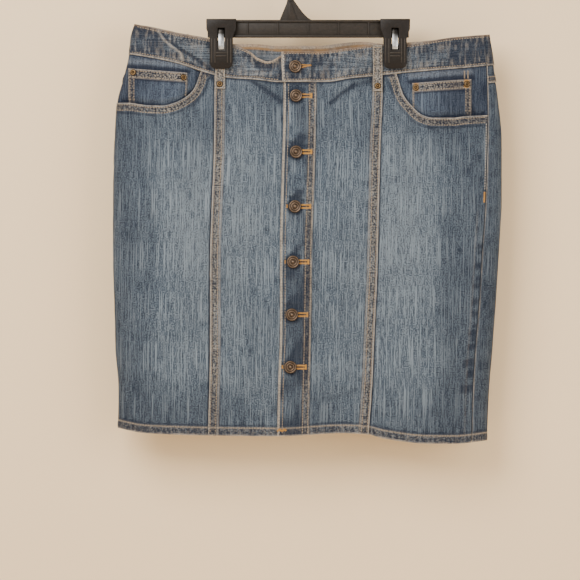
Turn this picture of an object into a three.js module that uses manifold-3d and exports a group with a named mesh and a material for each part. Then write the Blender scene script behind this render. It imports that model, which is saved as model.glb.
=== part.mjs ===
// Denim skirt with a button front, hanging from a clip hanger. Millimetres, +Z up, front towards -Y.
// The cloth is one flattened tube. Its sections, edge lines and folds are the tables below.
import * as THREE from "three";
import { mergeVertices } from "three/addons/utils/BufferGeometryUtils.js";
import Module from "manifold-3d";

const wasm = await Module();
wasm.setup();

// Cloth sizes
const DENIM = 1.5;
const BAND_OUT = 0.8;
const BAND_IN = -2.2;
const FELL_RISE = 1.0;
const FELL_WIDTH = 12.5;
const FELL_SLOPE = 1.4;
const HEM_HEIGHT = 13;
const HEM_IN = -2.8;
const SEAM_HALF = 0.22;
const FELL_HALF = 0.35;
const FOLD_HALF = 0.6;
const LAY = 0.3;
const SEAM_DROP = 0.55;
const SEAM_LIFT = 0.5;
const PLACKET_OUT = 2.1;
const LOOP_WIDTH = 13;
const LOOP_IN = 2.3;
const LOOP_IN_BACK = 1.5;
const LOOP_OUT = 3.7;
const FACING_TUCK = -3.6;
const FACING_TUCK_PLAIN = -1.9;
const FACING_BELOW = 15;
const FACING_LIFT = 2.5;
const COIN_BELOW = 8;
const COIN_THICK = 1.2;
const COIN_BAND = 12;
const COIN_LAY = 0.45;
const YOKE_SIDE = -167.5;
const YOKE_CENTRE = -207;
// Button and rivet sizes
const BUTTON_RADIUS = 8.5;
const BUTTON_HIGH = 3.4;
const SHANK_RADIUS = 2.4;
const HOLE_RADIUS = 2.9;
const HOLE_LONG = 14;
const HOLE_HALF = 0.9;
const RIVET_RADIUS = 4.5;
// Hanger sizes
const JAW_CENTRE = 114.8;
const CLIP_HALF = 24;
const PINCH_HALF = 24;
const PINCH_REACH = 62;
const PINCHED = 2.45;
const HOOK_RADIUS = 23.5;
const HOOK_THICK = 3.5;
const HOOK_X = -23.5;
const BAR_TOP = -85;
const BAR_BOTTOM = -108.4;

// Sections of the tube: height, the two side folds, half depths of front and back, squareness
const SECTIONS = [
  { z: -91, left: -229, right: 237, front: 8.5, back: 8.0, square: 20 },
  { z: -109.5, left: -234.5, right: 240, front: 9.5, back: 9.0, square: 20 },
  { z: -130.5, left: -237, right: 243.5, front: 11, back: 10, square: 20 },
  { z: -161, left: -244, right: 247, front: 13, back: 11.5, square: 16 },
  { z: -195, left: -252.5, right: 251.5, front: 16, back: 13, square: 12 },
  { z: -242.5, left: -255.5, right: 256, front: 19, back: 15, square: 9 },
  { z: -322, left: -258, right: 255.5, front: 22, back: 17, square: 7 },
  { z: -400, left: -258, right: 251.5, front: 24, back: 18.5, square: 6 },
  { z: -459, left: -256.5, right: 248, front: 25, back: 19.5, square: 6 },
  { z: -520, left: -255, right: 243.5, front: 25.5, back: 20, square: 6 },
  { z: -572.5, left: -251, right: 239, front: 26, back: 20.5, square: 6 },
  { z: -642.5, left: -251.5, right: 235.5, front: 26, back: 21, square: 6 },
];
// Edge lines of the pieces: a height for each place across
const TOP_LEFT = [
  { x: -229, z: -90.5 }, { x: -207.5, z: -95.5 }, { x: -174, z: -103 }, { x: -132.5, z: -110 },
  { x: -99.5, z: -118 }, { x: -76.5, z: -127.5 }, { x: -67, z: -135.5 }, { x: -53, z: -140.5 },
  { x: -45.5, z: -138.5 }, { x: -35.5, z: -133 }, { x: 1, z: -130.5 },
];
const TOP_RIGHT = [
  { x: -34.5, z: -127.5 }, { x: 11.5, z: -127.5 }, { x: 54.5, z: -122.5 }, { x: 96, z: -117.5 },
  { x: 131.5, z: -117.5 }, { x: 155.5, z: -114 }, { x: 192.5, z: -108.5 }, { x: 239, z: -104.5 },
];
const TOP_BACK = [
  { x: -229, z: -90.5 }, { x: -207.5, z: -93.5 }, { x: -174, z: -101 }, { x: -132.5, z: -109 },
  { x: -100, z: -116.5 }, { x: -34.5, z: -124.5 }, { x: 11.5, z: -124.5 }, { x: 54.5, z: -120 },
  { x: 96, z: -117.5 }, { x: 155.5, z: -112.5 }, { x: 192.5, z: -107.5 }, { x: 239, z: -104.5 },
];
const WAIST_SEAM = [
  { x: -237, z: -130 }, { x: -207.5, z: -135 }, { x: -174, z: -142 }, { x: -132, z: -155 },
  { x: -106.5, z: -161 }, { x: -73, z: -163.5 }, { x: -34.5, z: -167.5 }, { x: 26, z: -167 },
  { x: 54.5, z: -162.5 }, { x: 81.5, z: -159.5 }, { x: 127.5, z: -154.5 }, { x: 211, z: -148 },
  { x: 244, z: -144.5 },
];
const HEM_EDGE = [
  { x: -251.5, z: -624 }, { x: -216, z: -630.5 }, { x: -132.5, z: -633.5 }, { x: -38.5, z: -634.5 },
  { x: 44.5, z: -630.5 }, { x: 77.5, z: -632 }, { x: 100, z: -637.5 }, { x: 155.5, z: -644 },
  { x: 192.5, z: -644.5 }, { x: 236, z: -640.5 },
];
// Pocket mouths: the edge and the lower stitch line
const MOUTH_LEFT = [
  { x: -251.5, edge: -195, stitch: -205.5 }, { x: -211, edge: -198.5, stitch: -208 },
  { x: -193, edge: -199, stitch: -208.8 }, { x: -180, edge: -196.5, stitch: -207 },
  { x: -166.5, edge: -190.5, stitch: -202.5 }, { x: -153.5, edge: -180, stitch: -195 },
  { x: -146.5, edge: -167.5, stitch: -186 }, { x: -143.5, edge: -156, stitch: -181 },
  { x: -137.5, edge: -152, stitch: -161 },
];
const MOUTH_RIGHT = [
  { x: 115, edge: -156.5, stitch: -166 }, { x: 118.5, edge: -159.5, stitch: -189 },
  { x: 126, edge: -185, stitch: -201 }, { x: 137.5, edge: -200, stitch: -212.5 },
  { x: 150, edge: -211, stitch: -220.5 }, { x: 164.5, edge: -215, stitch: -224.5 },
  { x: 192.5, edge: -215, stitch: -225.5 }, { x: 234.5, edge: -211.5, stitch: -220.5 },
];
// Seams that run down the skirt: a place across for each height
const PRINCESS_LEFT = [
  { z: -150, x: -124 }, { z: -178, x: -124 }, { z: -257.5, x: -124.5 }, { z: -323.5, x: -127 },
  { z: -407.5, x: -129.5 }, { z: -504, x: -129.5 }, { z: -640, x: -132.2 },
];
const PRINCESS_RIGHT = [
  { z: -150, x: 98.5 }, { z: -179.5, x: 98.5 }, { z: -244, x: 95.5 }, { z: -322, x: 93.5 },
  { z: -423.5, x: 91 }, { z: -497.5, x: 87.5 }, { z: -566, x: 84.5 }, { z: -640, x: 79 },
];
const PLACKET_LEFT = [
  { z: -150, x: -32.5 }, { z: -204.5, x: -32.5 }, { z: -282.5, x: -34.5 }, { z: -389.5, x: -37 },
  { z: -493.5, x: -37 }, { z: -569, x: -39.5 }, { z: -640, x: -41 },
];
const PLACKET_RIGHT = [
  { z: -150, x: 6.5 }, { z: -187.5, x: 6.5 }, { z: -282.5, x: 4.5 }, { z: -376, x: 1.2 },
  { z: -488.5, x: -0.5 }, { z: -580.5, x: -2.5 }, { z: -640, x: -3.5 },
];
const SIDE_RIGHT = [
  { z: -90, x: 232 }, { z: -143.5, x: 235.5 }, { z: -212.5, x: 237 }, { z: -322, x: 234.5 },
  { z: -386.5, x: 230 }, { z: -455.5, x: 226 }, { z: -547.5, x: 218.8 }, { z: -640, x: 215 },
];
// The left side seam goes round the fold, so it is an angle about the tube (0 is centre front)
const SIDE_LEFT = [
  { z: -90, turn: -89.5 }, { z: -131, turn: -89.5 }, { z: -161, turn: -90.5 }, { z: -400, turn: -99 },
  { z: -640, turn: -107.5 },
];
// Soft folds: place across at the upper and lower end, heights, half width, and how far it stands out
const FOLDS = [
  { side: 1, x0: -198, z0: -92, x1: -165, z1: -142, wide: 8, out: 2.2 },
  { side: 1, x0: -186, z0: -98, x1: -140, z1: -160, wide: 7, out: -1.6 },
  { side: 1, x0: -55, z0: -110, x1: -52, z1: -158, wide: 17, out: -5.5 },
  { side: 1, x0: -214, z0: -395, x1: -222, z1: -690, wide: 26, out: 3.5 },
  { side: 1, x0: -168, z0: -430, x1: -176, z1: -700, wide: 24, out: -3.5 },
  { side: 1, x0: -85, z0: -330, x1: -92, z1: -700, wide: 34, out: -4.0 },
  { side: 1, x0: 48, z0: -360, x1: 44, z1: -700, wide: 36, out: -5.0 },
  { side: 1, x0: 150, z0: -380, x1: 160, z1: -720, wide: 40, out: 6.5 },
  { side: 1, x0: 60, z0: -165, x1: 25, z1: -235, wide: 12, out: -1.6 },
  { side: 1, x0: -60, z0: -160, x1: -72, z1: -225, wide: 13, out: -1.8 },
  { side: -1, x0: -160, z0: -380, x1: -170, z1: -700, wide: 38, out: 4.0 },
  { side: -1, x0: -50, z0: -420, x1: -45, z1: -700, wide: 34, out: -3.5 },
  { side: -1, x0: 70, z0: -360, x1: 76, z1: -710, wide: 40, out: 4.5 },
  { side: -1, x0: 170, z0: -430, x1: 178, z1: -700, wide: 30, out: -3.0 },
];
const BUTTONS = [
  { x: -17, z: -147.5 }, { x: -16, z: -186 }, { x: -16, z: -260 }, { x: -17.5, z: -332 },
  { x: -20, z: -405 }, { x: -21.5, z: -474.5 }, { x: -23.5, z: -543.5 },
];

const COLOURS = {
  denim: { color: 0x71808f, roughness: 0.92, metalness: 0 },
  denimDark: { color: 0x5d6a7c, roughness: 0.92, metalness: 0 },
  button: { color: 0x6b4a32, roughness: 0.42, metalness: 0.85 },
  rivet: { color: 0xa8764a, roughness: 0.4, metalness: 0.9 },
  plastic: { color: 0x2b2521, roughness: 0.45, metalness: 0 },
  steel: { color: 0xc9ccd0, roughness: 0.25, metalness: 1 },
};

const group = new THREE.Group();
group.name = "denim_skirt";

function smooth(low, high, value) {
  return THREE.MathUtils.smoothstep(value, low, high);
}

// A value of a table's column at a place between its rows, without overshoot
function readTable(rows, key, column, at) {
  const rising = rows[1][key] > rows[0][key] ? 1 : -1;
  const last = rows.length - 1;
  const q = THREE.MathUtils.clamp(at * rising, rows[0][key] * rising, rows[last][key] * rising);
  let i = 0;
  while (i < last - 1 && rows[i + 1][key] * rising < q) i += 1;
  const slopeOf = (k) => (rows[k + 1][column] - rows[k][column]) / (rows[k + 1][key] - rows[k][key]);
  const tangent = (k) => {
    if (k <= 0) return slopeOf(0);
    if (k >= last) return slopeOf(last - 1);
    const a = slopeOf(k - 1);
    const b = slopeOf(k);
    return a * b <= 0 ? 0 : (2 * a * b) / (a + b);
  };
  const span = rows[i + 1][key] - rows[i][key];
  const t = (q * rising - rows[i][key]) / span;
  const t2 = t * t;
  const t3 = t2 * t;
  return (2 * t3 - 3 * t2 + 1) * rows[i][column] + (t3 - 2 * t2 + t) * span * tangent(i)
    + (3 * t2 - 2 * t3) * rows[i + 1][column] + (t3 - t2) * span * tangent(i + 1);
}

function sectionAt(z, column) {
  return readTable(SECTIONS, "z", column, z);
}

function middle(z) {
  return (sectionAt(z, "left") + sectionAt(z, "right")) / 2;
}

function halfWidth(z) {
  return (sectionAt(z, "right") - sectionAt(z, "left")) / 2;
}

// The turn about the tube, in radians, of a place across the front at a height
function turnOf(x, z) {
  return Math.asin(THREE.MathUtils.clamp((x - middle(z)) / halfWidth(z), -0.9999, 0.9999));
}

function acrossAt(turn, z) {
  return middle(z) + halfWidth(z) * Math.sin(turn);
}

// How far the folds stand out at a place of the front (side 1) or back (side -1)
function foldOut(x, z, side) {
  let sum = 0;
  for (const fold of FOLDS) {
    if (fold.side !== side) continue;
    const along = (z - fold.z0) / (fold.z1 - fold.z0);
    const centre = THREE.MathUtils.lerp(fold.x0, fold.x1, along);
    const away = (x - centre) / fold.wide;
    const window = smooth(0, 0.35, along) * (1 - smooth(0.65, 1.05, along));
    sum += fold.out * window * Math.exp(-away * away);
  }
  return sum;
}

// The tube's outer surface
function surface(turn, z) {
  const x = acrossAt(turn, z);
  const side = Math.cos(turn) >= 0 ? 1 : -1;
  const u = Math.abs(Math.sin(turn));
  const full = sectionAt(z, side > 0 ? "front" : "back") + foldOut(x, z, side);
  const near = 1 - smooth(PINCH_HALF, PINCH_REACH, Math.abs(Math.abs(x) - JAW_CENTRE));
  const pinch = near * smooth(-250, -146, z);
  const depth = full + (PINCHED - full) * pinch;
  const round = Math.sqrt(Math.max(0, 1 - u ** sectionAt(z, "square")));
  return new THREE.Vector3(x, -side * depth * round, z);
}

function outward(turn, z) {
  const dt = 0.004;
  const dz = 1.5;
  const across = surface(turn + dt, z).sub(surface(turn - dt, z));
  const up = surface(turn, z + dz).sub(surface(turn, z - dz));
  return across.cross(up).normalize();
}

function place(turn, z, out) {
  return surface(turn, z).addScaledVector(outward(turn, z), out);
}

// The turn that is a given length further round the tube
function shifted(turn, z, length) {
  const dt = 0.004;
  const perTurn = surface(turn + dt, z).distanceTo(surface(turn - dt, z)) / (2 * dt);
  return turn + length / perTurn;
}

// The height of an edge line at a turn
function lineAt(rows, turn, column = "z") {
  let z = rows[0][column];
  for (let i = 0; i < 4; i += 1) {
    z = readTable(rows, "x", column, acrossAt(turn, z));
  }
  return z;
}

function topLine(turn, front) {
  const share = smooth(-0.12, 0.12, Math.cos(turn));
  return THREE.MathUtils.lerp(lineAt(TOP_BACK, turn), lineAt(front, turn), share);
}

function seamLine(turn) {
  return lineAt(WAIST_SEAM, turn);
}

function hemLine(turn) {
  return lineAt(HEM_EDGE, turn);
}

function tableTurn(rows) {
  return (z) => turnOf(readTable(rows, "z", "x", z), z);
}

const leftSeam = (z) => THREE.MathUtils.degToRad(readTable(SIDE_LEFT, "z", "turn", z));
const rightSeam = tableTurn(SIDE_RIGHT);
const princessLeft = tableTurn(PRINCESS_LEFT);
const princessRight = tableTurn(PRINCESS_RIGHT);
const placketLeft = tableTurn(PLACKET_LEFT);
const placketRight = tableTurn(PLACKET_RIGHT);

function addMesh(name, geometry, colour) {
  const mesh = new THREE.Mesh(geometry, new THREE.MeshStandardMaterial(COLOURS[colour]));
  mesh.name = name;
  group.add(mesh);
}

// A closed wall from a grid of outer and inner points, columns left to right and rows from the top
function wallGeometry(outer, inner) {
  const columns = outer.length;
  const rows = outer[0].length;
  const points = [];
  for (const side of [outer, inner]) {
    for (const column of side) {
      for (const p of column) points.push(p.x, p.y, p.z);
    }
  }
  const at = (i, j, side) => side * columns * rows + i * rows + j;
  const faces = [];
  const quad = (a, b, c, d) => faces.push(a, b, c, a, c, d);
  for (let i = 0; i < columns - 1; i += 1) {
    for (let j = 0; j < rows - 1; j += 1) {
      quad(at(i, j, 0), at(i, j + 1, 0), at(i + 1, j + 1, 0), at(i + 1, j, 0));
      quad(at(i, j, 1), at(i + 1, j, 1), at(i + 1, j + 1, 1), at(i, j + 1, 1));
    }
    quad(at(i, 0, 0), at(i + 1, 0, 0), at(i + 1, 0, 1), at(i, 0, 1));
    quad(at(i, rows - 1, 0), at(i, rows - 1, 1), at(i + 1, rows - 1, 1), at(i + 1, rows - 1, 0));
  }
  for (let j = 0; j < rows - 1; j += 1) {
    quad(at(0, j, 0), at(0, j, 1), at(0, j + 1, 1), at(0, j + 1, 0));
    const last = columns - 1;
    quad(at(last, j, 0), at(last, j + 1, 0), at(last, j + 1, 1), at(last, j, 1));
  }
  const geometry = new THREE.BufferGeometry();
  geometry.setAttribute("position", new THREE.Float32BufferAttribute(points, 3));
  geometry.setIndex(faces);
  return geometry;
}

// A cloth piece: turns gives each column's turn at a height, heights each row's height at a turn
function clothPiece({ turns, heights, outside, inside }) {
  const outer = [];
  const inner = [];
  turns.forEach((turnAt, i) => {
    const outerColumn = [];
    const innerColumn = [];
    heights.forEach((heightAt, j) => {
      let turn = turnAt(-350);
      let z = heightAt(turn, i);
      for (let k = 0; k < 5; k += 1) {
        turn = turnAt(z);
        z = heightAt(turn, i);
      }
      outerColumn.push(place(turn, z, outside(turn, z, i, j)));
      innerColumn.push(place(turn, z, inside(turn, z, i, j)));
    });
    outer.push(outerColumn);
    inner.push(innerColumn);
  });
  return wallGeometry(outer, inner);
}

function even(count) {
  return Array.from({ length: count }, (_, i) => i / (count - 1));
}

// Rows from an upper line to the hem, with the hem's turned-up depth as the last two
function rowsToHem(upper, count) {
  const rows = [];
  for (let j = 0; j < count; j += 1) {
    const share = j / (count - 1);
    rows.push((turn, i) => THREE.MathUtils.lerp(upper(turn, i), hemLine(turn) + HEM_HEIGHT + 1.5, share));
  }
  rows.push((turn) => hemLine(turn) + HEM_HEIGHT);
  rows.push((turn) => hemLine(turn));
  return rows;
}

function hemInside(rowCount) {
  return (turn, z, i, j) => (j >= rowCount - 2 ? HEM_IN : -DENIM);
}

const belowSeam = (turn) => seamLine(turn) - SEAM_DROP;

// The placket's columns, shared by the panels under it
const lapAt = (share) => (z) => (
  THREE.MathUtils.lerp(placketLeft(z), shifted(placketRight(z), z, -3), share));
const placketEnd = (z) => shifted(placketRight(z), z, 4);
const moved = (turnAt, length) => (z) => shifted(turnAt(z), z, length);
const between = (from, to, share) => (z) => THREE.MathUtils.lerp(from(z), to(z), share);
const frontRows = rowsToHem(belowSeam, 13);

// Front panels beside the centre: the outer edge is a flat-felled band that stands out
function frontCentre(name, turns, felled) {
  addMesh(name, clothPiece({
    turns,
    heights: frontRows,
    outside: (turn, z, i) => (felled(i) ? FELL_RISE : 0),
    inside: hemInside(frontRows.length),
  }), "denim");
}

const bandFoot = FELL_WIDTH + FELL_SLOPE;
frontCentre("front_center_left", [
  moved(princessLeft, FELL_HALF),
  moved(princessLeft, FELL_WIDTH),
  moved(princessLeft, bandFoot),
  ...[0.25, 0.5, 0.75].map((share) => between(moved(princessLeft, bandFoot), lapAt(0), share)),
  lapAt(0),
  lapAt(1 / 3),
  lapAt(2 / 3),
  moved(lapAt(1), -SEAM_HALF),
], (i) => i <= 1);
frontCentre("front_center_right", [
  moved(lapAt(1), SEAM_HALF),
  placketEnd,
  ...[0.2, 0.4, 0.6, 0.8].map((share) => between(placketEnd, moved(princessRight, -bandFoot), share)),
  moved(princessRight, -bandFoot),
  moved(princessRight, -FELL_WIDTH),
  moved(princessRight, -FELL_HALF),
], (i) => i >= 7);

// Front side panels: the upper edge is the pocket mouth, turned under and standing out a little
function frontSide(name, from, to, mouth, xs, first) {
  const z0 = -200;
  const start = moved(from, first ? FOLD_HALF : FELL_HALF);
  const end = moved(to, first ? -FELL_HALF : -SEAM_HALF);
  const a = from(z0);
  const b = to(z0);
  const shares = [0, ...xs.map((x) => (turnOf(x, z0) - a) / (b - a)), 1];
  if (first) shares.splice(1, 0, shares[1] * 0.3, shares[1] * 0.65);
  const turns = shares.map((share) => (z) => THREE.MathUtils.lerp(start(z), end(z), share));
  const edge = (turn) => Math.min(belowSeam(turn), lineAt(mouth, turn, "edge"));
  const stitch = (turn) => Math.min(edge(turn) - 4, lineAt(mouth, turn, "stitch"));
  const heights = [edge, stitch, (turn) => stitch(turn) - FELL_SLOPE];
  heights.push(...rowsToHem((turn) => stitch(turn) - FELL_SLOPE, 11).slice(1));
  const below = hemInside(heights.length);
  addMesh(name, clothPiece({
    turns,
    heights,
    outside: (turn, z, i, j) => (j < 2 ? 0.5 : 0),
    inside: below,
  }), "denim");
}

const LEFT_XS = [-245, -237, -228, -211, -193, -180, -166.5, -153.5, -146.5, -143.8, -137.5];
const RIGHT_XS = [110, 115, 118.5, 126, 137.5, 150, 164.5, 178, 192.5, 207, 221];
frontSide("front_side_left", leftSeam, princessLeft, MOUTH_LEFT, LEFT_XS, true);
frontSide("front_side_right", princessRight, rightSeam, MOUTH_RIGHT, RIGHT_XS, false);

// Pocket facings: from the waist seam and side seam down behind the mouth
function facingDepth(mouth, side, turn, z) {
  const x = acrossAt(turn, z);
  const seamX = side < 0 ? acrossAt(turnOf(-251, z), z) : readTable(SIDE_RIGHT, "z", "x", z);
  const fromSeam = Math.abs(x - seamX);
  const above = z - readTable(mouth, "x", "edge", x);
  const endX = side < 0 ? -147 : 119;
  const before = (x - endX) * side;
  const away = Math.min(above / 9, before / 7);
  const tucked = 1 - THREE.MathUtils.clamp(away, 0, 1);
  const underCoin = smooth(5, 11, before);
  const depth = THREE.MathUtils.lerp(FACING_TUCK_PLAIN, FACING_TUCK, underCoin);
  return depth * tucked * smooth(1, 6, fromSeam) - 0.2;
}

// The rows that a facing and its coin pocket share, from the waist seam to the bend behind the mouth
function pocketRows(mouth, top) {
  const edge = (turn) => Math.min(belowSeam(turn), lineAt(mouth, turn, "edge"));
  const bend = (turn) => Math.min(edge(turn) + 1, belowSeam(turn) - 4);
  const upper = (turn) => Math.max(readTable(top, "x", "z", acrossAt(turn, -165)), bend(turn) + 2.7);
  const band = (turn) => Math.max(upper(turn) - COIN_BAND, bend(turn) + 1.8);
  const halfway = (turn) => (band(turn) + bend(turn)) / 2;
  return { edge, bend, upper, band, halfway };
}

function pocketFacing(name, mouth, side, rows, seamTurns, xs) {
  const inner = xs.map((x) => (z) => turnOf(x, z));
  const turns = side < 0 ? [...seamTurns, ...inner] : [...inner, ...seamTurns];
  const last = turns.length - 1;
  const beside = (i) => (side < 0 ? i < seamTurns.length : i > last - seamTurns.length);
  const foot = (turn, i) => rows.edge(turn) + (beside(i) ? FACING_LIFT : -FACING_BELOW);
  const bend = (turn, i) => (beside(i) ? rows.edge(turn) + 3 : rows.bend(turn));
  const halfway = (turn, i) => (rows.band(turn) + bend(turn, i)) / 2;
  addMesh(name, clothPiece({
    turns,
    heights: [belowSeam, rows.upper, rows.band, halfway, bend, foot],
    outside: (turn, z) => facingDepth(mouth, side, turn, z),
    inside: (turn, z) => facingDepth(mouth, side, turn, z) - DENIM,
  }), "denimDark");
}

const rowsLeft = pocketRows(MOUTH_LEFT, [{ x: -238.5, z: -149.5 }, { x: -159, z: -155.5 }]);
const rowsRight = pocketRows(MOUTH_RIGHT,
  [{ x: 135.5, z: -169 }, { x: 174, z: -166.5 }, { x: 215.5, z: -164 }]);
const COIN_LEFT_XS = [-237, -228, -211, -193, -180, -166.5, -160];
const COIN_RIGHT_XS = [137.5, 150, 164.5, 178, 192.5, 207, 215];
const facingStart = moved(leftSeam, 2 * FOLD_HALF);
const coinStart = (z) => turnOf(COIN_LEFT_XS[0], z);
pocketFacing("pocket_facing_left", MOUTH_LEFT, -1, rowsLeft,
  [facingStart, between(facingStart, coinStart, 0.3), between(facingStart, coinStart, 0.65)],
  [...COIN_LEFT_XS, -153.5, -147, -139]);
pocketFacing("pocket_facing_right", MOUTH_RIGHT, 1, rowsRight,
  [moved(rightSeam, -7), moved(rightSeam, -SEAM_HALF)], [114, 119, 126, ...COIN_RIGHT_XS]);

// Coin pockets lie on the facings, and go down behind the mouth with them
function coinPocket(name, mouth, side, rows, xs) {
  const base = (turn, z) => facingDepth(mouth, side, turn, z) + COIN_LAY;
  const foot = (turn) => rows.edge(turn) - COIN_BELOW;
  addMesh(name, clothPiece({
    turns: xs.map((x) => (z) => turnOf(x, z)),
    heights: [rows.upper, rows.band, rows.halfway, rows.bend, foot],
    outside: (turn, z, i, j) => base(turn, z) + COIN_THICK + (j < 2 ? 0.4 : 0),
    inside: base,
  }), "denimDark");
}

coinPocket("coin_pocket_left", MOUTH_LEFT, -1, rowsLeft, COIN_LEFT_XS);
coinPocket("coin_pocket_right", MOUTH_RIGHT, 1, rowsRight, COIN_RIGHT_XS);

// Placket: a doubled strip over both centre panels, with keyhole openings
const plans = { placket: [], band: [] };
for (const button of BUTTONS) {
  const turn = turnOf(button.x, button.z);
  const centre = surface(turn, button.z);
  const normal = outward(turn, button.z);
  plans[button === BUTTONS[0] ? "band" : "placket"].push({ centre, normal });
}

function toSolid(geometry) {
  const plain = geometry.clone();
  plain.deleteAttribute("normal");
  plain.deleteAttribute("uv");
  const merged = mergeVertices(plain, 1e-5);
  const mesh = new wasm.Mesh({
    numProp: 3,
    vertProperties: new Float32Array(merged.attributes.position.array),
    triVerts: new Uint32Array(merged.index.array),
  });
  mesh.merge();
  return new wasm.Manifold(mesh);
}

function toGeometry(solid) {
  const mesh = solid.getMesh();
  const geometry = new THREE.BufferGeometry();
  geometry.setAttribute("position", new THREE.Float32BufferAttribute(mesh.vertProperties, 3));
  geometry.setIndex(Array.from(mesh.triVerts));
  return geometry;
}

// Turns a shape made along +Z so that it points along a normal at a place
function seated(geometry, centre, normal, out) {
  const turn = new THREE.Quaternion().setFromUnitVectors(new THREE.Vector3(0, 0, 1), normal);
  const upright = new THREE.Matrix4().compose(
    centre.clone().addScaledVector(normal, out), turn, new THREE.Vector3(1, 1, 1));
  return geometry.clone().applyMatrix4(upright);
}

function cutHoles(geometry, places) {
  let solid = toSolid(geometry);
  for (const { centre, normal } of places) {
    const eye = new THREE.CylinderGeometry(HOLE_RADIUS, HOLE_RADIUS, 30, 12);
    eye.rotateX(Math.PI / 2);
    const slot = new THREE.BoxGeometry(HOLE_LONG, 30, 2 * HOLE_HALF);
    slot.translate(centre.x + HOLE_LONG / 2, centre.y, centre.z);
    solid = solid.subtract(toSolid(seated(eye, centre, normal, 0)));
    solid = solid.subtract(toSolid(slot));
  }
  return toGeometry(solid);
}

const placketGeometry = clothPiece({
  turns: [lapAt(0), lapAt(1 / 3), lapAt(2 / 3), lapAt(1), placketEnd],
  heights: frontRows,
  outside: () => PLACKET_OUT,
  inside: () => LAY,
});
addMesh("placket", cutHoles(placketGeometry, plans.placket), "denim");

// Waistbands: doubled cloth, 3 mm; the right one laps over the left under the first button
const bandRows = (top) => [0, 0.33, 0.67, 1].map((share) => (turn) => (
  THREE.MathUtils.lerp(top(turn), seamLine(turn) + SEAM_LIFT, share)));
const LAP_XS = [-34.5, -24, -8, 2];
const lapTurns = (xs) => xs.map((x) => (z) => turnOf(x, z));
addMesh("waistband_front_left", clothPiece({
  turns: [
    moved(leftSeam, FOLD_HALF),
    ...lapTurns([-228, -216, -206, -196, -187, -178, -168, -157, -146, -133, -100, -88, -77, -66, -55,
      -45, ...LAP_XS]),
  ],
  heights: bandRows((turn) => topLine(turn, TOP_LEFT)),
  outside: () => BAND_OUT,
  inside: () => BAND_IN,
}), "denim");
const lapStep = 3.3;
const rightBand = clothPiece({
  turns: [
    ...lapTurns([...LAP_XS, 6, 20, 34, 48, 64, 82, 98, 132, 148, 164, 180, 196, 212, 224]),
    (z) => shifted(rightSeam(z), z, -SEAM_HALF),
  ],
  heights: bandRows((turn) => topLine(turn, TOP_RIGHT)),
  outside: (turn, z, i) => BAND_OUT + (i < 4 ? lapStep : 0),
  inside: (turn, z, i) => BAND_IN + (i < 4 ? lapStep : 0),
});
addMesh("waistband_front_right", cutHoles(rightBand, plans.band), "denim");

const backStart = (z) => shifted(rightSeam(z), z, SEAM_HALF);
const backEnd = (z) => shifted(leftSeam(z) + 2 * Math.PI, z, -FOLD_HALF);
const centreBack = () => Math.PI;
const centreSeam = (length) => (z) => shifted(centreBack(z), z, length);
const behind = (xs) => xs.map((x) => (z) => Math.PI - turnOf(x, z));
const backTop = (turn) => THREE.MathUtils.lerp(lineAt(TOP_BACK, turn),
  lineAt(Math.sin(turn) > 0 ? TOP_RIGHT : TOP_LEFT, turn), smooth(-0.12, 0.12, Math.cos(turn)));
const BACK_BANDS = {
  right: [
    backStart,
    (z) => THREE.MathUtils.lerp(rightSeam(z), Math.PI / 2, 0.5),
    () => Math.PI / 2,
    () => THREE.MathUtils.degToRad(98),
    ...behind([226, 200, 180, 160, 134, 114, 96, 70, 42, 14]),
    centreSeam(-SEAM_HALF),
  ],
  left: [
    centreSeam(SEAM_HALF),
    ...behind([-14, -42, -70, -96, -114, -134, -160, -180, -204, -222]),
    () => THREE.MathUtils.degToRad(262),
    backEnd,
  ],
};
for (const [side, turns] of Object.entries(BACK_BANDS)) {
  addMesh(`waistband_back_${side}`, clothPiece({
    turns,
    heights: bandRows(backTop),
    outside: () => BAND_OUT,
    inside: () => BAND_IN,
  }), "denim");
}

// Back: a shaped yoke each side over a panel each side, joined down the centre back
function yokeLine(turn) {
  const share = Math.min(1, Math.abs(Math.sin(turn)));
  return THREE.MathUtils.lerp(YOKE_CENTRE, YOKE_SIDE, share);
}

const halfBack = {
  right: {
    turns: [
      (z) => backStart(z),
      (z) => THREE.MathUtils.lerp(rightSeam(z), Math.PI / 2, 0.45),
      (z) => THREE.MathUtils.lerp(rightSeam(z), Math.PI / 2, 0.8),
      () => THREE.MathUtils.degToRad(93),
      () => THREE.MathUtils.degToRad(100),
      ...[224, 198, 168, 140, 112, 84, 54, 28].map((x) => (z) => Math.PI - turnOf(x, z)),
      (z) => shifted(centreBack(z), z, -SEAM_HALF - 11.5),
      (z) => shifted(centreBack(z), z, -SEAM_HALF - 10),
      (z) => shifted(centreBack(z), z, -SEAM_HALF),
    ],
  },
  left: {
    turns: [
      (z) => shifted(centreBack(z), z, SEAM_HALF),
      ...[-14, -40, -68, -96, -124, -150, -178, -206, -228].map((x) => (z) => Math.PI - turnOf(x, z)),
      backEnd,
    ],
  },
};

for (const side of ["right", "left"]) {
  const { turns } = halfBack[side];
  const last = turns.length - 1;
  const felled = (i) => side === "right" && i >= last - 1;
  addMesh(`back_yoke_${side}`, clothPiece({
    turns,
    heights: [
      belowSeam,
      (turn) => yokeLine(turn) + 10 + FELL_SLOPE,
      (turn) => yokeLine(turn) + 10,
      (turn) => yokeLine(turn) + SEAM_HALF,
    ],
    outside: (turn, z, i, j) => (felled(i) || j >= 2 ? FELL_RISE : 0),
    inside: () => -DENIM,
  }), "denim");
  const heights = rowsToHem((turn) => yokeLine(turn) - SEAM_HALF, 11);
  addMesh(`back_panel_${side}`, clothPiece({
    turns,
    heights,
    outside: (turn, z, i) => (felled(i) ? FELL_RISE : 0),
    inside: hemInside(heights.length),
  }), "denim");
}

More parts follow.
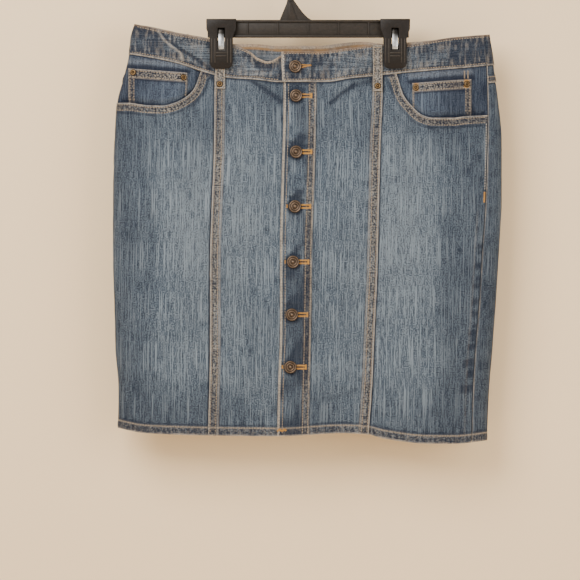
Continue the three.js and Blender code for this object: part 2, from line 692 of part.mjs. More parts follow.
// Belt loops: two in front on the felled seams, three behind
function beltLoop(name, turnAt, upper, lower, lift, base = LOOP_IN) {
  const half = LOOP_WIDTH / 2;
  const bulge = (share) => base + lift * Math.sin(Math.PI * share);
  const shares = even(7);
  addMesh(name, clothPiece({
    turns: [-half, 0, half].map((d) => (z) => shifted(turnAt(z), z, d)),
    heights: shares.map((share) => () => THREE.MathUtils.lerp(upper, lower, share)),
    outside: (turn, z, i, j) => bulge(shares[j]) + LOOP_OUT - LOOP_IN,
    inside: (turn, z, i, j) => bulge(shares[j]),
  }), "denim");
}

beltLoop("belt_loop_front_left", (z) => turnOf(-116.3, z), -113.5, -176.5, 0);
beltLoop("belt_loop_front_right", (z) => turnOf(91.5, z), -118.5, -180, 1.2);
beltLoop("belt_loop_back_left", (z) => Math.PI - turnOf(-165, z), -103, -155, 1.2, LOOP_IN_BACK);
beltLoop("belt_loop_back_center", () => Math.PI, -125, -180, 1.2, LOOP_IN_BACK);
beltLoop("belt_loop_back_right", (z) => Math.PI - turnOf(165, z), -112.5, -164, 1.2, LOOP_IN_BACK);

// Buttons: a domed rim, a ring and a raised centre on a shank through the buttonhole
const BUTTON_PROFILE = [
  { r: 0, h: -3.9 }, { r: 1, h: -3.9, shank: true }, { r: 1, h: 0, shank: true },
  { r: 0.86, h: 0 }, { r: 1, h: 0.45 }, { r: 1, h: 0.62 }, { r: 0.84, h: 0.94 }, { r: 0.66, h: 0.8 },
  { r: 0.5, h: 1 }, { r: 0.36, h: 0.72 }, { r: 0.2, h: 1.02 }, { r: 0, h: 1.06 },
];

function button(index, shankLong, out) {
  const points = BUTTON_PROFILE.map((row, k) => {
    if (k === 0) return new THREE.Vector2(0, -shankLong);
    if (row.shank) return new THREE.Vector2(SHANK_RADIUS, row.h < 0 ? -shankLong : 0);
    return new THREE.Vector2(row.r * BUTTON_RADIUS, row.h * BUTTON_HIGH);
  });
  const turned = new THREE.LatheGeometry(points, 18);
  turned.rotateX(Math.PI / 2);
  const { x, z } = BUTTONS[index];
  const turn = turnOf(x, z);
  const solid = toGeometry(toSolid(seated(turned, surface(turn, z), outward(turn, z), out)));
  addMesh(`button_${index + 1}`, solid, "button");
}

BUTTONS.forEach((row, index) => {
  const cover = index === 0 ? BAND_OUT + lapStep : PLACKET_OUT;
  const under = index === 0 ? BAND_OUT + LAY : LAY;
  const out = cover + 0.6;
  button(index, out - under, out);
});

// Rivets: a shallow cap with a ring and a small centre
const RIVET_PROFILE = [
  { r: 0, h: 0 }, { r: 1, h: 0 }, { r: 0.92, h: 0.9 }, { r: 0.62, h: 1.3 }, { r: 0.4, h: 0.9 },
  { r: 0.22, h: 1.7 }, { r: 0, h: 1.8 },
];

function rivet(name, x, z, out) {
  const points = RIVET_PROFILE.map(({ r, h }) => new THREE.Vector2(r * RIVET_RADIUS, h));
  const turned = new THREE.LatheGeometry(points, 12);
  turned.rotateX(Math.PI / 2);
  const turn = turnOf(x, z);
  addMesh(name, toGeometry(toSolid(seated(turned, surface(turn, z), outward(turn, z), out))), "rivet");
}

const coinTop = COIN_THICK + COIN_LAY + 0.4 - 0.2 + LAY;
rivet("rivet_coin_left_outer", -230.5, -155, coinTop + 0.25);
rivet("rivet_coin_left_inner", -165, -161.5, coinTop + 0.25);
rivet("rivet_coin_right_inner", 142.5, -175, coinTop + 0.8);
rivet("rivet_coin_right_outer", 209.5, -170.5, coinTop + 0.25);
rivet("rivet_loop_left", -116.8, -170.5, LOOP_OUT + LAY + 0.25);
rivet("rivet_loop_right", 91.8, -173, LOOP_OUT + LAY + 0.9);

// Hanger: a bar, a gusset and a hook moulded as one
function profile(points) {
  const shape = new THREE.Shape();
  shape.moveTo(points[0][0], points[0][1]);
  points.slice(1).forEach(([x, y]) => shape.lineTo(x, y));
  shape.closePath();
  return shape;
}

// A flat shape drawn in X and Z, made a given depth in Y from one side to the other
function plate(points, front, back, holes = []) {
  const shape = profile(points);
  holes.forEach((hole) => shape.holes.push(new THREE.Path(hole.map(([x, y]) => new THREE.Vector2(x, y)))));
  const solid = new THREE.ExtrudeGeometry(shape, { depth: back - front, bevelEnabled: false });
  solid.rotateX(Math.PI / 2);
  solid.translate(0, back, 0);
  return solid;
}

function rectangle(x0, x1, z0, z1) {
  return [[x0, z0], [x1, z0], [x1, z1], [x0, z1]];
}

const BAR_END = 133;
const barWeb = plate(rectangle(-BAR_END, BAR_END, BAR_BOTTOM + 1, BAR_TOP - 1), -1.6, 1.6);
const barTop = plate(rectangle(-BAR_END, BAR_END, BAR_TOP - 3.4, BAR_TOP), -4, 4);
const barBottom = plate(rectangle(-BAR_END, BAR_END, BAR_BOTTOM, BAR_BOTTOM + 3.4), -4, 4);
const GUSSET = [
  [-38, -86], [-28.5, -63], [-27.2, -56], [-19.8, -56], [-18.5, -59.5], [-13, -67.5], [-6.5, -76],
  [-0.5, -82], [6, -86],
];
const gusset = plate(GUSSET, -1.8, 1.8);
const gussetRib = plate([[-27, -86], [-26, -62], [-22, -62], [-14, -86]], -3.4, 3.4);

class HookLine extends THREE.Curve {
  getPoint(t) {
    const straight = 40;
    const sweep = THREE.MathUtils.degToRad(215);
    const long = straight + HOOK_RADIUS * sweep;
    const s = t * long;
    if (s < straight) return new THREE.Vector3(HOOK_X, 0, -20 - straight + s);
    const angle = Math.PI - (s - straight) / HOOK_RADIUS;
    return new THREE.Vector3(HOOK_RADIUS * Math.cos(angle), 0, -20 + HOOK_RADIUS * Math.sin(angle));
  }
}

const hookRing = Array.from({ length: 12 }, (_, i) => {
  const a = (i / 12) * 2 * Math.PI;
  return [HOOK_THICK * Math.cos(a), HOOK_THICK * Math.sin(a)];
});
const hook = new THREE.ExtrudeGeometry(profile(hookRing), {
  steps: 26, bevelEnabled: false, extrudePath: new HookLine(),
});
let frame = toSolid(barWeb);
for (const piece of [barTop, barBottom, gusset, gussetRib, hook]) frame = frame.add(toSolid(piece));
for (let x = -80; x <= 80; x += 40) {
  frame = frame.add(toSolid(plate(rectangle(x - 0.9, x + 0.9, BAR_BOTTOM + 2, BAR_TOP - 2), -3.2, 3.2)));
}
addMesh("hanger_frame", toGeometry(frame), "plastic");

// Clips: a front and a back jaw at each end of the bar, and a bent steel spring over the bar
const CLIP_INNER = 6.5;
const CLIP_OUTER = 10.3;
const PAD_DEPTH = CLIP_INNER - PINCHED - BAND_OUT - LAY;
const WINDOW = { half: 4.8, top: -96, bottom: -125.3 };

function clipOutline(centre) {
  return [
    [centre - 19.8, -84], [centre - 19.6, -97.5], [centre - 17.5, -102.5], [centre - 15.2, -108.6],
    [centre - 15.2, -143], [centre - 13.2, -147.5], [centre - 9, -149.5], [centre + 9, -149.5],
    [centre + 13.2, -147.5], [centre + 15.2, -143], [centre + 15.2, -108.6], [centre + 17.5, -102.5],
    [centre + 19.6, -97.5], [centre + 19.8, -84],
  ].reverse();
}

function clip(name, centre, facing, padDepth) {
  const hole = rectangle(centre - WINDOW.half, centre + WINDOW.half, WINDOW.bottom, WINDOW.top);
  const inside = facing < 0 ? -CLIP_INNER : CLIP_INNER;
  const outside = facing < 0 ? -CLIP_OUTER : CLIP_OUTER;
  const span = (a, b) => [Math.min(a, b), Math.max(a, b)];
  let jaw = toSolid(plate(clipOutline(centre), ...span(inside, outside), [hole]));
  for (const offset of [-12.6, -8.2, 8.2, 12.6]) {
    const rib = rectangle(centre + offset - 0.7, centre + offset + 0.7, -142, -110);
    jaw = jaw.add(toSolid(plate(rib, ...span(outside - facing, outside + facing * 0.9))));
  }
  for (const z of [-129, -133]) {
    const step = rectangle(centre - 7, centre + 7, z - 0.8, z + 0.8);
    jaw = jaw.add(toSolid(plate(step, ...span(outside - facing, outside + facing * 0.9))));
  }
  if (padDepth > 0) {
    const pad = rectangle(centre - 13, centre + 13, -146, -136);
    jaw = jaw.add(toSolid(plate(pad, ...span(inside + facing, inside - facing * padDepth))));
  }
  addMesh(name, toGeometry(jaw), "plastic");
}

clip("clip_left_front", -JAW_CENTRE, -1, 0);
clip("clip_left_back", -JAW_CENTRE, 1, PAD_DEPTH);
clip("clip_right_front", JAW_CENTRE, -1, PAD_DEPTH);
clip("clip_right_back", JAW_CENTRE, 1, PAD_DEPTH);

// Spring: the middle line of the bent strip in Y and Z, one half of it
const SPRING_LINE = [
  [0, -84], [-4.2, -84.1], [-4.95, -84.9], [-4.95, -97.5], [-7.6, -103], [-8.2, -118], [-7.2, -124.3],
];
const SPRING_HALF_THICK = 0.32;
const SPRING_HALF_WIDE = 3.6;

function spring(name, centre) {
  const line = [...SPRING_LINE.slice(1).map(([y, z]) => [-y, z]).reverse(), ...SPRING_LINE];
  const edge = (sign) => line.map(([y, z], k) => {
    const before = line[Math.max(0, k - 1)];
    const after = line[Math.min(line.length - 1, k + 1)];
    const dy = after[0] - before[0];
    const dz = after[1] - before[1];
    const long = Math.hypot(dy, dz);
    return [y - (sign * SPRING_HALF_THICK * dz) / long, z + (sign * SPRING_HALF_THICK * dy) / long];
  });
  const outline = [...edge(1), ...edge(-1).reverse()];
  const strip = new THREE.ExtrudeGeometry(profile(outline), {
    depth: 2 * SPRING_HALF_WIDE, bevelEnabled: false,
  });
  strip.applyMatrix4(new THREE.Matrix4().makeBasis(
    new THREE.Vector3(0, 1, 0), new THREE.Vector3(0, 0, 1), new THREE.Vector3(1, 0, 0)));
  strip.translate(centre - SPRING_HALF_WIDE, 0, 0);
  addMesh(name, toGeometry(toSolid(strip)), "steel");
}

spring("spring_left", -JAW_CENTRE);
spring("spring_right", JAW_CENTRE);

export default group;
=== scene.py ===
"""A blue denim skirt with a button placket, hung flat from a moulded clip hanger."""

import logging
import math
from dataclasses import dataclass, field
from enum import Enum
from typing import Callable, Iterable, Sequence

import bmesh
import bpy
import numpy as np
from mathutils import Matrix, Vector


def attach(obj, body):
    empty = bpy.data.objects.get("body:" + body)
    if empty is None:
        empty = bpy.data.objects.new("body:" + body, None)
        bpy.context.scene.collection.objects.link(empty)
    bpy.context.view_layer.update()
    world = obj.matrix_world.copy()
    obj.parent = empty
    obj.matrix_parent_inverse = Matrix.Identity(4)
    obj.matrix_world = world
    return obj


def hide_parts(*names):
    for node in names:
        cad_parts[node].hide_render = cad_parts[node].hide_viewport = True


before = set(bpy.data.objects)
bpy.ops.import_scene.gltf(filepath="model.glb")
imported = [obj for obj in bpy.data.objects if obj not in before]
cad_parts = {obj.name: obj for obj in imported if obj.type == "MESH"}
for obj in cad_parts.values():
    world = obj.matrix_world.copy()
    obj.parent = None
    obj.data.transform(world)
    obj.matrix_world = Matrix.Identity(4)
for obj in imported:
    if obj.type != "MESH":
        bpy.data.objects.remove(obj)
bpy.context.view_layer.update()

LOG = logging.getLogger("denim_skirt")
MM = 0.001
Array = np.ndarray
Across = Callable[[Array], Array]

# The garment's own sizes, in millimetres.
DENIM = 1.5
BAND_THICK = 3.0
BAND_OUT = 0.8
LAP_STEP = 3.3
FELL_WIDTH = 12.5
FELL_RISE = 1.0
HEM_HEIGHT = 12.0
PLACKET_OUT = 2.1
SEAM_HALF = 0.25
STITCH_PITCH = 3.5
STITCH_LONG = 2.75
STITCH_RADIUS = 0.56
JAW_CENTRE = 114.8
PINCHED = 2.45
BUTTON_RADIUS = 8.5
RIVET_RADIUS = 4.4
COIN_BAND = 12.0
YOKE_SIDE = -167.5
YOKE_CENTRE = -207.0
LOOP_WIDTH = 13.0

# Height, side folds, half depths of front and back, squareness of the fold.
SECTIONS = (
    (-91, -229, 237, 8.5, 8.0, 20),
    (-109.5, -234.5, 240, 9.5, 9.0, 20),
    (-130.5, -237, 243.5, 11, 10, 20),
    (-161, -244, 247, 13, 11.5, 16),
    (-195, -252.5, 251.5, 16, 13, 12),
    (-242.5, -255.5, 256, 19, 15, 9),
    (-322, -258, 255.5, 22, 17, 7),
    (-400, -258, 251.5, 24, 18.5, 6),
    (-459, -256.5, 248, 25, 19.5, 6),
    (-520, -255, 243.5, 25.5, 20, 6),
    (-572.5, -251, 239, 26, 20.5, 6),
    (-642.5, -251.5, 235.5, 26, 21, 6),
)
# Edge lines: place across, height.
TOP_LEFT = (
    (-229, -90.5), (-207.5, -95.5), (-174, -103), (-132.5, -110), (-99.5, -118), (-76.5, -127.5),
    (-67, -135.5), (-53, -140.5), (-45.5, -138.5), (-35.5, -133), (1, -130.5),
)
TOP_RIGHT = (
    (-34.5, -127.5), (11.5, -127.5), (54.5, -122.5), (96, -117.5), (131.5, -117.5), (155.5, -114),
    (192.5, -108.5), (239, -104.5),
)
TOP_BACK = (
    (-229, -90.5), (-207.5, -93.5), (-174, -101), (-132.5, -109), (-100, -116.5), (-34.5, -124.5),
    (11.5, -124.5), (54.5, -120), (96, -117.5), (155.5, -112.5), (192.5, -107.5), (239, -104.5),
)
WAIST_SEAM = (
    (-237, -130), (-207.5, -135), (-174, -142), (-132, -155), (-106.5, -161), (-73, -163.5),
    (-34.5, -167.5), (26, -167), (54.5, -162.5), (81.5, -159.5), (127.5, -154.5), (211, -148),
    (244, -144.5),
)
HEM_EDGE = (
    (-251.5, -624), (-216, -630.5), (-132.5, -633.5), (-38.5, -634.5), (44.5, -630.5), (77.5, -632),
    (100, -637.5), (155.5, -644), (192.5, -644.5), (236, -640.5),
)
MOUTH_LEFT = (
    (-251.5, -195), (-240.5, -195), (-211, -198.5), (-193, -199), (-180, -196.5), (-166.5, -190.5),
    (-153.5, -180), (-146.5, -167.5), (-143.5, -156), (-141, -152),
)
MOUTH_RIGHT = (
    (116.5, -156), (118.5, -162), (126, -185), (137.5, -200), (150, -211), (164.5, -215),
    (192.5, -215), (203, -213.5), (234.5, -211.5),
)
# Seams: height, place across.
PRINCESS_LEFT = (
    (-150, -124), (-178, -124), (-257.5, -124.5), (-323.5, -127), (-407.5, -129.5), (-504, -129.5),
    (-640, -132.2),
)
PRINCESS_RIGHT = (
    (-150, 98.5), (-179.5, 98.5), (-244, 95.5), (-322, 93.5), (-423.5, 91), (-497.5, 87.5),
    (-566, 84.5), (-640, 79),
)
PLACKET_LEFT = (
    (-150, -32.5), (-204.5, -32.5), (-282.5, -34.5), (-389.5, -37), (-493.5, -37), (-569, -39.5),
    (-640, -41),
)
PLACKET_RIGHT = (
    (-150, 6.5), (-187.5, 6.5), (-282.5, 4.5), (-376, 1.2), (-488.5, -0.5), (-580.5, -2.5),
    (-640, -3.5),
)
SIDE_RIGHT = (
    (-90, 232), (-143.5, 235.5), (-212.5, 237), (-322, 234.5), (-386.5, 230), (-455.5, 226),
    (-547.5, 218.8), (-640, 215),
)
# Height, turn in degrees about the tube (0 is centre front).
SIDE_LEFT = ((-90, -89.5), (-131, -89.5), (-161, -90.5), (-400, -99), (-640, -107.5))
# Side, upper end, lower end, half width, how far it stands out.
FOLDS = (
    (1, -198, -92, -165, -142, 8, 2.2),
    (1, -186, -98, -140, -160, 7, -1.6),
    (1, -55, -110, -52, -158, 17, -5.5),
    (1, -214, -395, -222, -690, 26, 3.5),
    (1, -168, -430, -176, -700, 24, -3.5),
    (1, -85, -330, -92, -700, 34, -4.0),
    (1, 48, -360, 44, -700, 36, -5.0),
    (1, 150, -380, 160, -720, 40, 6.5),
    (1, 60, -165, 25, -235, 12, -1.6),
    (1, -60, -160, -72, -225, 13, -1.8),
    (-1, -160, -380, -170, -700, 38, 4.0),
    (-1, -50, -420, -45, -700, 34, -3.5),
    (-1, 70, -360, 76, -710, 40, 4.5),
    (-1, 170, -430, 178, -700, 30, -3.0),
)
# Finer creases in the same columns: these are laid on the surface by the scene alone.
CREASES = (
    (1, -196, -92, -166, -140, 4.0, 0.9),
    (1, -190, -94, -150, -150, 3.2, -1.5),
    (1, -232, -133, -176, -150, 5.0, 1.0),
    (1, -230, -141, -170, -158, 4.0, -0.9),
    (1, -86, -160, -36, -193, 6.0, -0.3),
    (1, 66, -165, 30, -200, 6.0, -0.3),
    (1, 20, -590, 78, -566, 9.0, -0.2),
    (1, 108, -150, 130, -230, 7.0, 0.9),
    (1, -108, -158, -90, -240, 7.0, 0.8),
    (1, -240, -250, -215, -420, 12.0, 0.9),
    (1, 232, -250, 205, -300, 9.0, -0.3),
    (1, -60, -420, -52, -600, 12.0, 0.8),
    (1, 60, -300, 66, -520, 14.0, 0.8),
    (-1, -120, -170, -60, -260, 9.0, 1.0),
    (-1, 120, -165, 66, -270, 9.0, 1.0),
    (-1, -20, -240, -26, -420, 12.0, -0.8),
    (-1, 40, -300, 52, -560, 14.0, 0.9),
    (-1, -200, -260, -186, -470, 13.0, 0.8),
    (-1, 205, -240, 190, -430, 12.0, -0.8),
    (-1, -110, -520, -96, -640, 12.0, 1.0),
    (-1, 120, -500, 132, -650, 12.0, 1.0),
)
# Marked creases of the front: corners of the line, half width, how far out, and tone: a rubbed light ridge
# above 0, painted shadow in the crease below 0.
PLEATS = (
    (((-197, -101), (-190, -111), (-184, -117), (-168, -130), (-166, -139)), 1.5, 1.2, 1.5),
    (((-193, -103), (-184, -114), (-164, -127), (-141, -141), (-129, -151.5)), 1.9, -1.6, -1.1),
    (((-229, -97), (-213, -101), (-200, -104)), 3.4, -0.8, -0.8),
    (((-205, -125), (-175, -133)), 4.0, -0.5, -0.5),
    (((-86, -160), (-62, -173), (-36, -193)), 3.6, -0.4, -0.26),
        (((58, -174), (44, -182), (30, -195)), 3.2, -0.4, -0.25),
    (((82, -166), (60, -172)), 5.0, -0.4, -0.35),
    (((8, -586), (48, -583), (70, -571)), 6.0, -0.15, -0.05),
        (((-70, -611), (-52, -606), (-44, -598)), 5.0, -0.25, -0.06),
    (((-132, -150), (-126, -163)), 3.0, -0.6, -0.6),
)
# Dark puckers in front of the right side seam: height, half its height, reach.
SIDE_BLOTS = (
    (-384, 3.0, 9), (-392, 2.2, 8), (-410, 3.2, 12), (-427, 2.0, 9), (-436, 3.0, 12), (-457, 3.2, 13),
    (-473, 3.0, 10), (-489, 2.2, 9), (-498, 3.0, 14), (-506, 2.4, 10), (-516, 3.4, 14), (-537, 4.0, 20),
    (-552, 4.2, 13), (-571, 4.2, 22),
)
BUTTONS = (
    (-17, -147.5), (-16, -186), (-16, -260), (-17.5, -332), (-20, -405), (-21.5, -474.5),
    (-23.5, -543.5),
)


class Side(Enum):
    """The half of the garment that a piece lies on."""

    FRONT = 1
    BACK = -1


class Thread(Enum):
    """The sewing threads, by colour."""

    TAN = "topstitch thread, tan"
    GOLD = "topstitch thread, gold"
    CREAM = "edge thread, cream"


class Grain(Enum):
    """Which way the warp runs on a piece."""

    UPRIGHT = 0
    LEVEL = 1


def ease(low: float, high: float, value: Array) -> Array:
    """Eases from 0 at low to 1 at high.

    Args:
        low: where the step begins.
        high: where the step ends.
        value: the places to read.

    Returns:
        The eased share at each place.
    """
    t = np.clip((np.asarray(value, float) - low) / (high - low), 0, 1)
    return t * t * (3 - 2 * t)


def ridge(value: Array, centre: float, width: float) -> Array:
    """Returns a soft ridge of height 1 at centre that fades over width."""
    return np.exp(-(((np.asarray(value, float) - centre) / width) ** 2))


class CutLine:
    """A smooth line through the rows of a short table, without overshoot."""

    def __init__(self, rows: Sequence[Sequence[float]], column: int = 1) -> None:
        """Reads the rows.

        Args:
            rows: the table; the first column is the place.
            column: the column whose value the line gives.
        """
        table = np.array([(row[0], row[column]) for row in rows], float)
        table = table[np.argsort(table[:, 0])]
        self.at, self.value = table[:, 0], table[:, 1]
        slope = np.diff(self.value) / np.diff(self.at)
        a, b = slope[:-1], slope[1:]
        same = a * b > 0
        mean = np.where(same, 2 * a * b / np.where(same, a + b, 1), 0)
        self.slope = np.concatenate([slope[:1], mean, slope[-1:]])

    def __call__(self, place: Array) -> Array:
        """Returns the line's value at each place."""
        q = np.clip(np.asarray(place, float), self.at[0], self.at[-1])
        i = np.clip(np.searchsorted(self.at, q, side="right") - 1, 0, len(self.at) - 2)
        span = self.at[i + 1] - self.at[i]
        t = (q - self.at[i]) / span
        t2, t3 = t * t, t * t * t
        return (
            (2 * t3 - 3 * t2 + 1) * self.value[i]
            + (t3 - 2 * t2 + t) * span * self.slope[i]
            + (3 * t2 - 2 * t3) * self.value[i + 1]
            + (t3 - t2) * span * self.slope[i + 1]
        )


class Ripple:
    """Smooth, seeded unevenness in two directions, from -1 to 1."""

    SIZE = 64

    def __init__(self, seed: int) -> None:
        """Draws the lattice of values for a seed."""
        self.lattice = np.random.default_rng(seed).uniform(-1, 1, (self.SIZE, self.SIZE))

    def __call__(self, a: Array, b: Array) -> Array:
        """Returns the unevenness at lattice places a and b."""
        a, b = np.broadcast_arrays(np.asarray(a, float), np.asarray(b, float))
        ia, ib = np.floor(a).astype(int), np.floor(b).astype(int)
        fa, fb = a - ia, b - ib
        fa, fb = fa * fa * (3 - 2 * fa), fb * fb * (3 - 2 * fb)
        n = self.SIZE
        v = self.lattice
        low = v[ia % n, ib % n] * (1 - fa) + v[(ia + 1) % n, ib % n] * fa
        high = v[ia % n, (ib + 1) % n] * (1 - fa) + v[(ia + 1) % n, (ib + 1) % n] * fa
        return low * (1 - fb) + high * fb


class HangingForm:
    """The tube that the skirt makes as it hangs: its sections, folds and edge lines."""

    def __init__(self) -> None:
        """Reads the tables."""
        self.left, self.right, self.front, self.back, self.square = (
            CutLine(SECTIONS, column) for column in range(1, 6)
        )
        self.seam = CutLine(WAIST_SEAM)
        self.hem = CutLine(HEM_EDGE)
        self.top_left = CutLine(TOP_LEFT)
        self.top_right = CutLine(TOP_RIGHT)
        self.top_back = CutLine(TOP_BACK)
        self.mouth_left = CutLine(MOUTH_LEFT)
        self.mouth_right = CutLine(MOUTH_RIGHT)
        self.side_left_line = CutLine(SIDE_LEFT)
        self.across_lines = {
            "princess_left": CutLine(PRINCESS_LEFT),
            "princess_right": CutLine(PRINCESS_RIGHT),
            "placket_left": CutLine(PLACKET_LEFT),
            "placket_right": CutLine(PLACKET_RIGHT),
            "side_right": CutLine(SIDE_RIGHT),
        }
        self.broad = Ripple(11)
        self.small = Ripple(12)
        self.along = Ripple(13)

    def middle(self, z: Array) -> Array:
        """Returns the middle of the section at each height."""
        return (self.left(z) + self.right(z)) / 2

    def half(self, z: Array) -> Array:
        """Returns the half width of the section at each height."""
        return (self.right(z) - self.left(z)) / 2

    def turn_of(self, x: Array, z: Array) -> Array:
        """Returns the turn of a place across the front."""
        return np.arcsin(np.clip((x - self.middle(z)) / self.half(z), -0.9999, 0.9999))

    def across(self, turn: Array, z: Array) -> Array:
        """Returns the place across for a turn."""
        return self.middle(z) + self.half(z) * np.sin(turn)

    def seam_turn(self, name: str) -> Across:
        """Returns a function that gives a named seam's turn at each height."""
        line = self.across_lines[name]
        return lambda z: self.turn_of(line(z), z)

    def side_left(self, z: Array) -> Array:
        """Returns the left side seam's turn at each height."""
        return np.radians(self.side_left_line(z))

    @staticmethod
    def _rows(table: Iterable[Sequence[float]], x: Array, z: Array, side: Array) -> Array:
        """Sums the soft ridges and troughs of a table at each place.

        Args:
            table: rows of side, ends, half width and how far out.
            x: places across.
            z: heights.
            side: 1 on the front, -1 on the back.

        Returns:
            How far out the surface is moved, in millimetres.
        """
        total = np.zeros_like(x, dtype=float)
        for which, x0, z0, x1, z1, wide, out in table:
            along = (z - z0) / (z1 - z0)
            centre = x0 + (x1 - x0) * along
            window = ease(0, 0.35, along) * (1 - ease(0.65, 1.05, along))
            total += np.where(side == which, out * window * ridge(x, centre, wide), 0)
        return total

    def surface(self, turn: Array, z: Array) -> Array:
        """Returns the tube's outer points, in millimetres, for turns and heights."""
        turn, z = np.broadcast_arrays(np.asarray(turn, float), np.asarray(z, float))
        x = self.across(turn, z)
        side = np.where(np.cos(turn) >= 0, 1, -1)
        u = np.abs(np.sin(turn))
        full = np.where(side > 0, self.front(z), self.back(z)) + self._rows(FOLDS, x, z, side)
        near = 1 - ease(24, 62, np.abs(np.abs(x) - JAW_CENTRE))
        pinch = near * ease(-250, -146, z)
        depth = full + (PINCHED - full) * pinch
        round_off = np.sqrt(np.maximum(0, 1 - u ** self.square(z)))
        return np.stack([x, -side * depth * round_off, z], axis=-1)

    def outward(self, turn: Array, z: Array) -> Array:
        """Returns the unit normals that point out of the tube."""
        dt, dz = 0.004, 1.5
        across = self.surface(turn + dt, z) - self.surface(turn - dt, z)
        up = self.surface(turn, z + dz) - self.surface(turn, z - dz)
        normal = np.cross(across, up)
        return normal / np.linalg.norm(normal, axis=-1, keepdims=True)

    def place(self, turn: Array, z: Array, out: Array) -> Array:
        """Returns points that stand out from the tube by a distance along its normals."""
        turn, z = np.broadcast_arrays(np.asarray(turn, float), np.asarray(z, float))
        out = np.broadcast_to(np.asarray(out, float), turn.shape)
        return self.surface(turn, z) + self.outward(turn, z) * out[..., None]

    def shifted(self, turn: Array, z: Array, length: Array) -> Array:
        """Returns the turn that lies a length further round the tube."""
        dt = 0.004
        step = self.surface(turn + dt, z) - self.surface(turn - dt, z)
        return turn + length * 2 * dt / np.linalg.norm(step, axis=-1)

    def moved(self, line: Across, length: float) -> Across:
        """Returns a seam line moved round the tube by a length."""
        return lambda z: self.shifted(line(z), z, length)

    def height(self, line: CutLine, turn: Array, start: float) -> Array:
        """Returns an edge line's height at each turn."""
        z = np.full(np.shape(turn), float(start))
        for _ in range(4):
            z = line(self.across(turn, z))
        return z

    def seam_height(self, turn: Array) -> Array:
        """Returns the waist seam's height at each turn."""
        return self.height(self.seam, turn, -150)

    def hem_height(self, turn: Array) -> Array:
        """Returns the hem edge's height at each turn."""
        return self.height(self.hem, turn, -630)

    def yoke_height(self, turn: Array) -> Array:
        """Returns the back yoke seam's height at each turn."""
        return YOKE_CENTRE + (YOKE_SIDE - YOKE_CENTRE) * np.minimum(1, np.abs(np.sin(turn)))

    def drape(self, turn: Array, z: Array) -> Array:
        """Returns the fine creases and the cloth's slight unevenness, in millimetres."""
        x = self.across(turn, z)
        side = np.where(np.cos(turn) >= 0, 1, -1)
        near = 1 - ease(24, 62, np.abs(np.abs(x) - JAW_CENTRE))
        free = 1 - 0.85 * near * ease(-250, -146, z)
        low = ease(-140, -260, z)
        uneven = 0.55 * self.broad(x / 46 + 3 * side, z / 80) * (0.35 + 0.65 * low)
        uneven += 0.16 * self.small(x / 15 + 7 * side, z / 26)
        return (self._rows(CREASES, x, z, side) + uneven) * free

    def pucker(self, away: Array, along: Array, size: float, reach: float, pitch: float) -> Array:
        """Returns the small puckers beside a line of sewing.

        Args:
            away: distance from the sewing, in millimetres.
            along: distance along it.
            size: their height beside the sewing.
            reach: how far they fade.
            pitch: how far apart they are.

        Returns:
            How far out the cloth is moved.
        """
        beat = self.along(along / pitch, np.asarray(away, float) / (3 * reach) + along / 300)
        return size * beat * np.exp(-np.abs(away) / reach)

    def hem_relief(self, turn: Array, z: Array) -> Array:
        """Returns the turned-up hem: its step, the groove of its sewing and its roping."""
        high = z - self.hem_height(turn)
        around = turn * 245
        band = 0.4 * (1 - ease(HEM_HEIGHT - 0.4, HEM_HEIGHT + 1.6, high))
        groove = -0.5 * ridge(high, HEM_HEIGHT - 1.6, 1.1)
        beat = np.sin(2 * math.pi * (around / 10.5 + high / 26) + 2.2 * self.along(around / 40, 3))
        roping = 0.42 * beat * ease(0, 3, high) * (1 - ease(6, HEM_HEIGHT - 1, high))
        above = self.pucker(np.maximum(high - HEM_HEIGHT, 0), around, 0.7, 9, 9)
        return band + groove + roping + above * ease(HEM_HEIGHT - 2, HEM_HEIGHT + 1, high)


FORM = HangingForm()
COIN_TOPS = {
    -1: CutLine(((-238.5, -149.5), (-159, -155.5))),
    1: CutLine(((135.5, -169), (174, -166.5), (215.5, -164))),
}


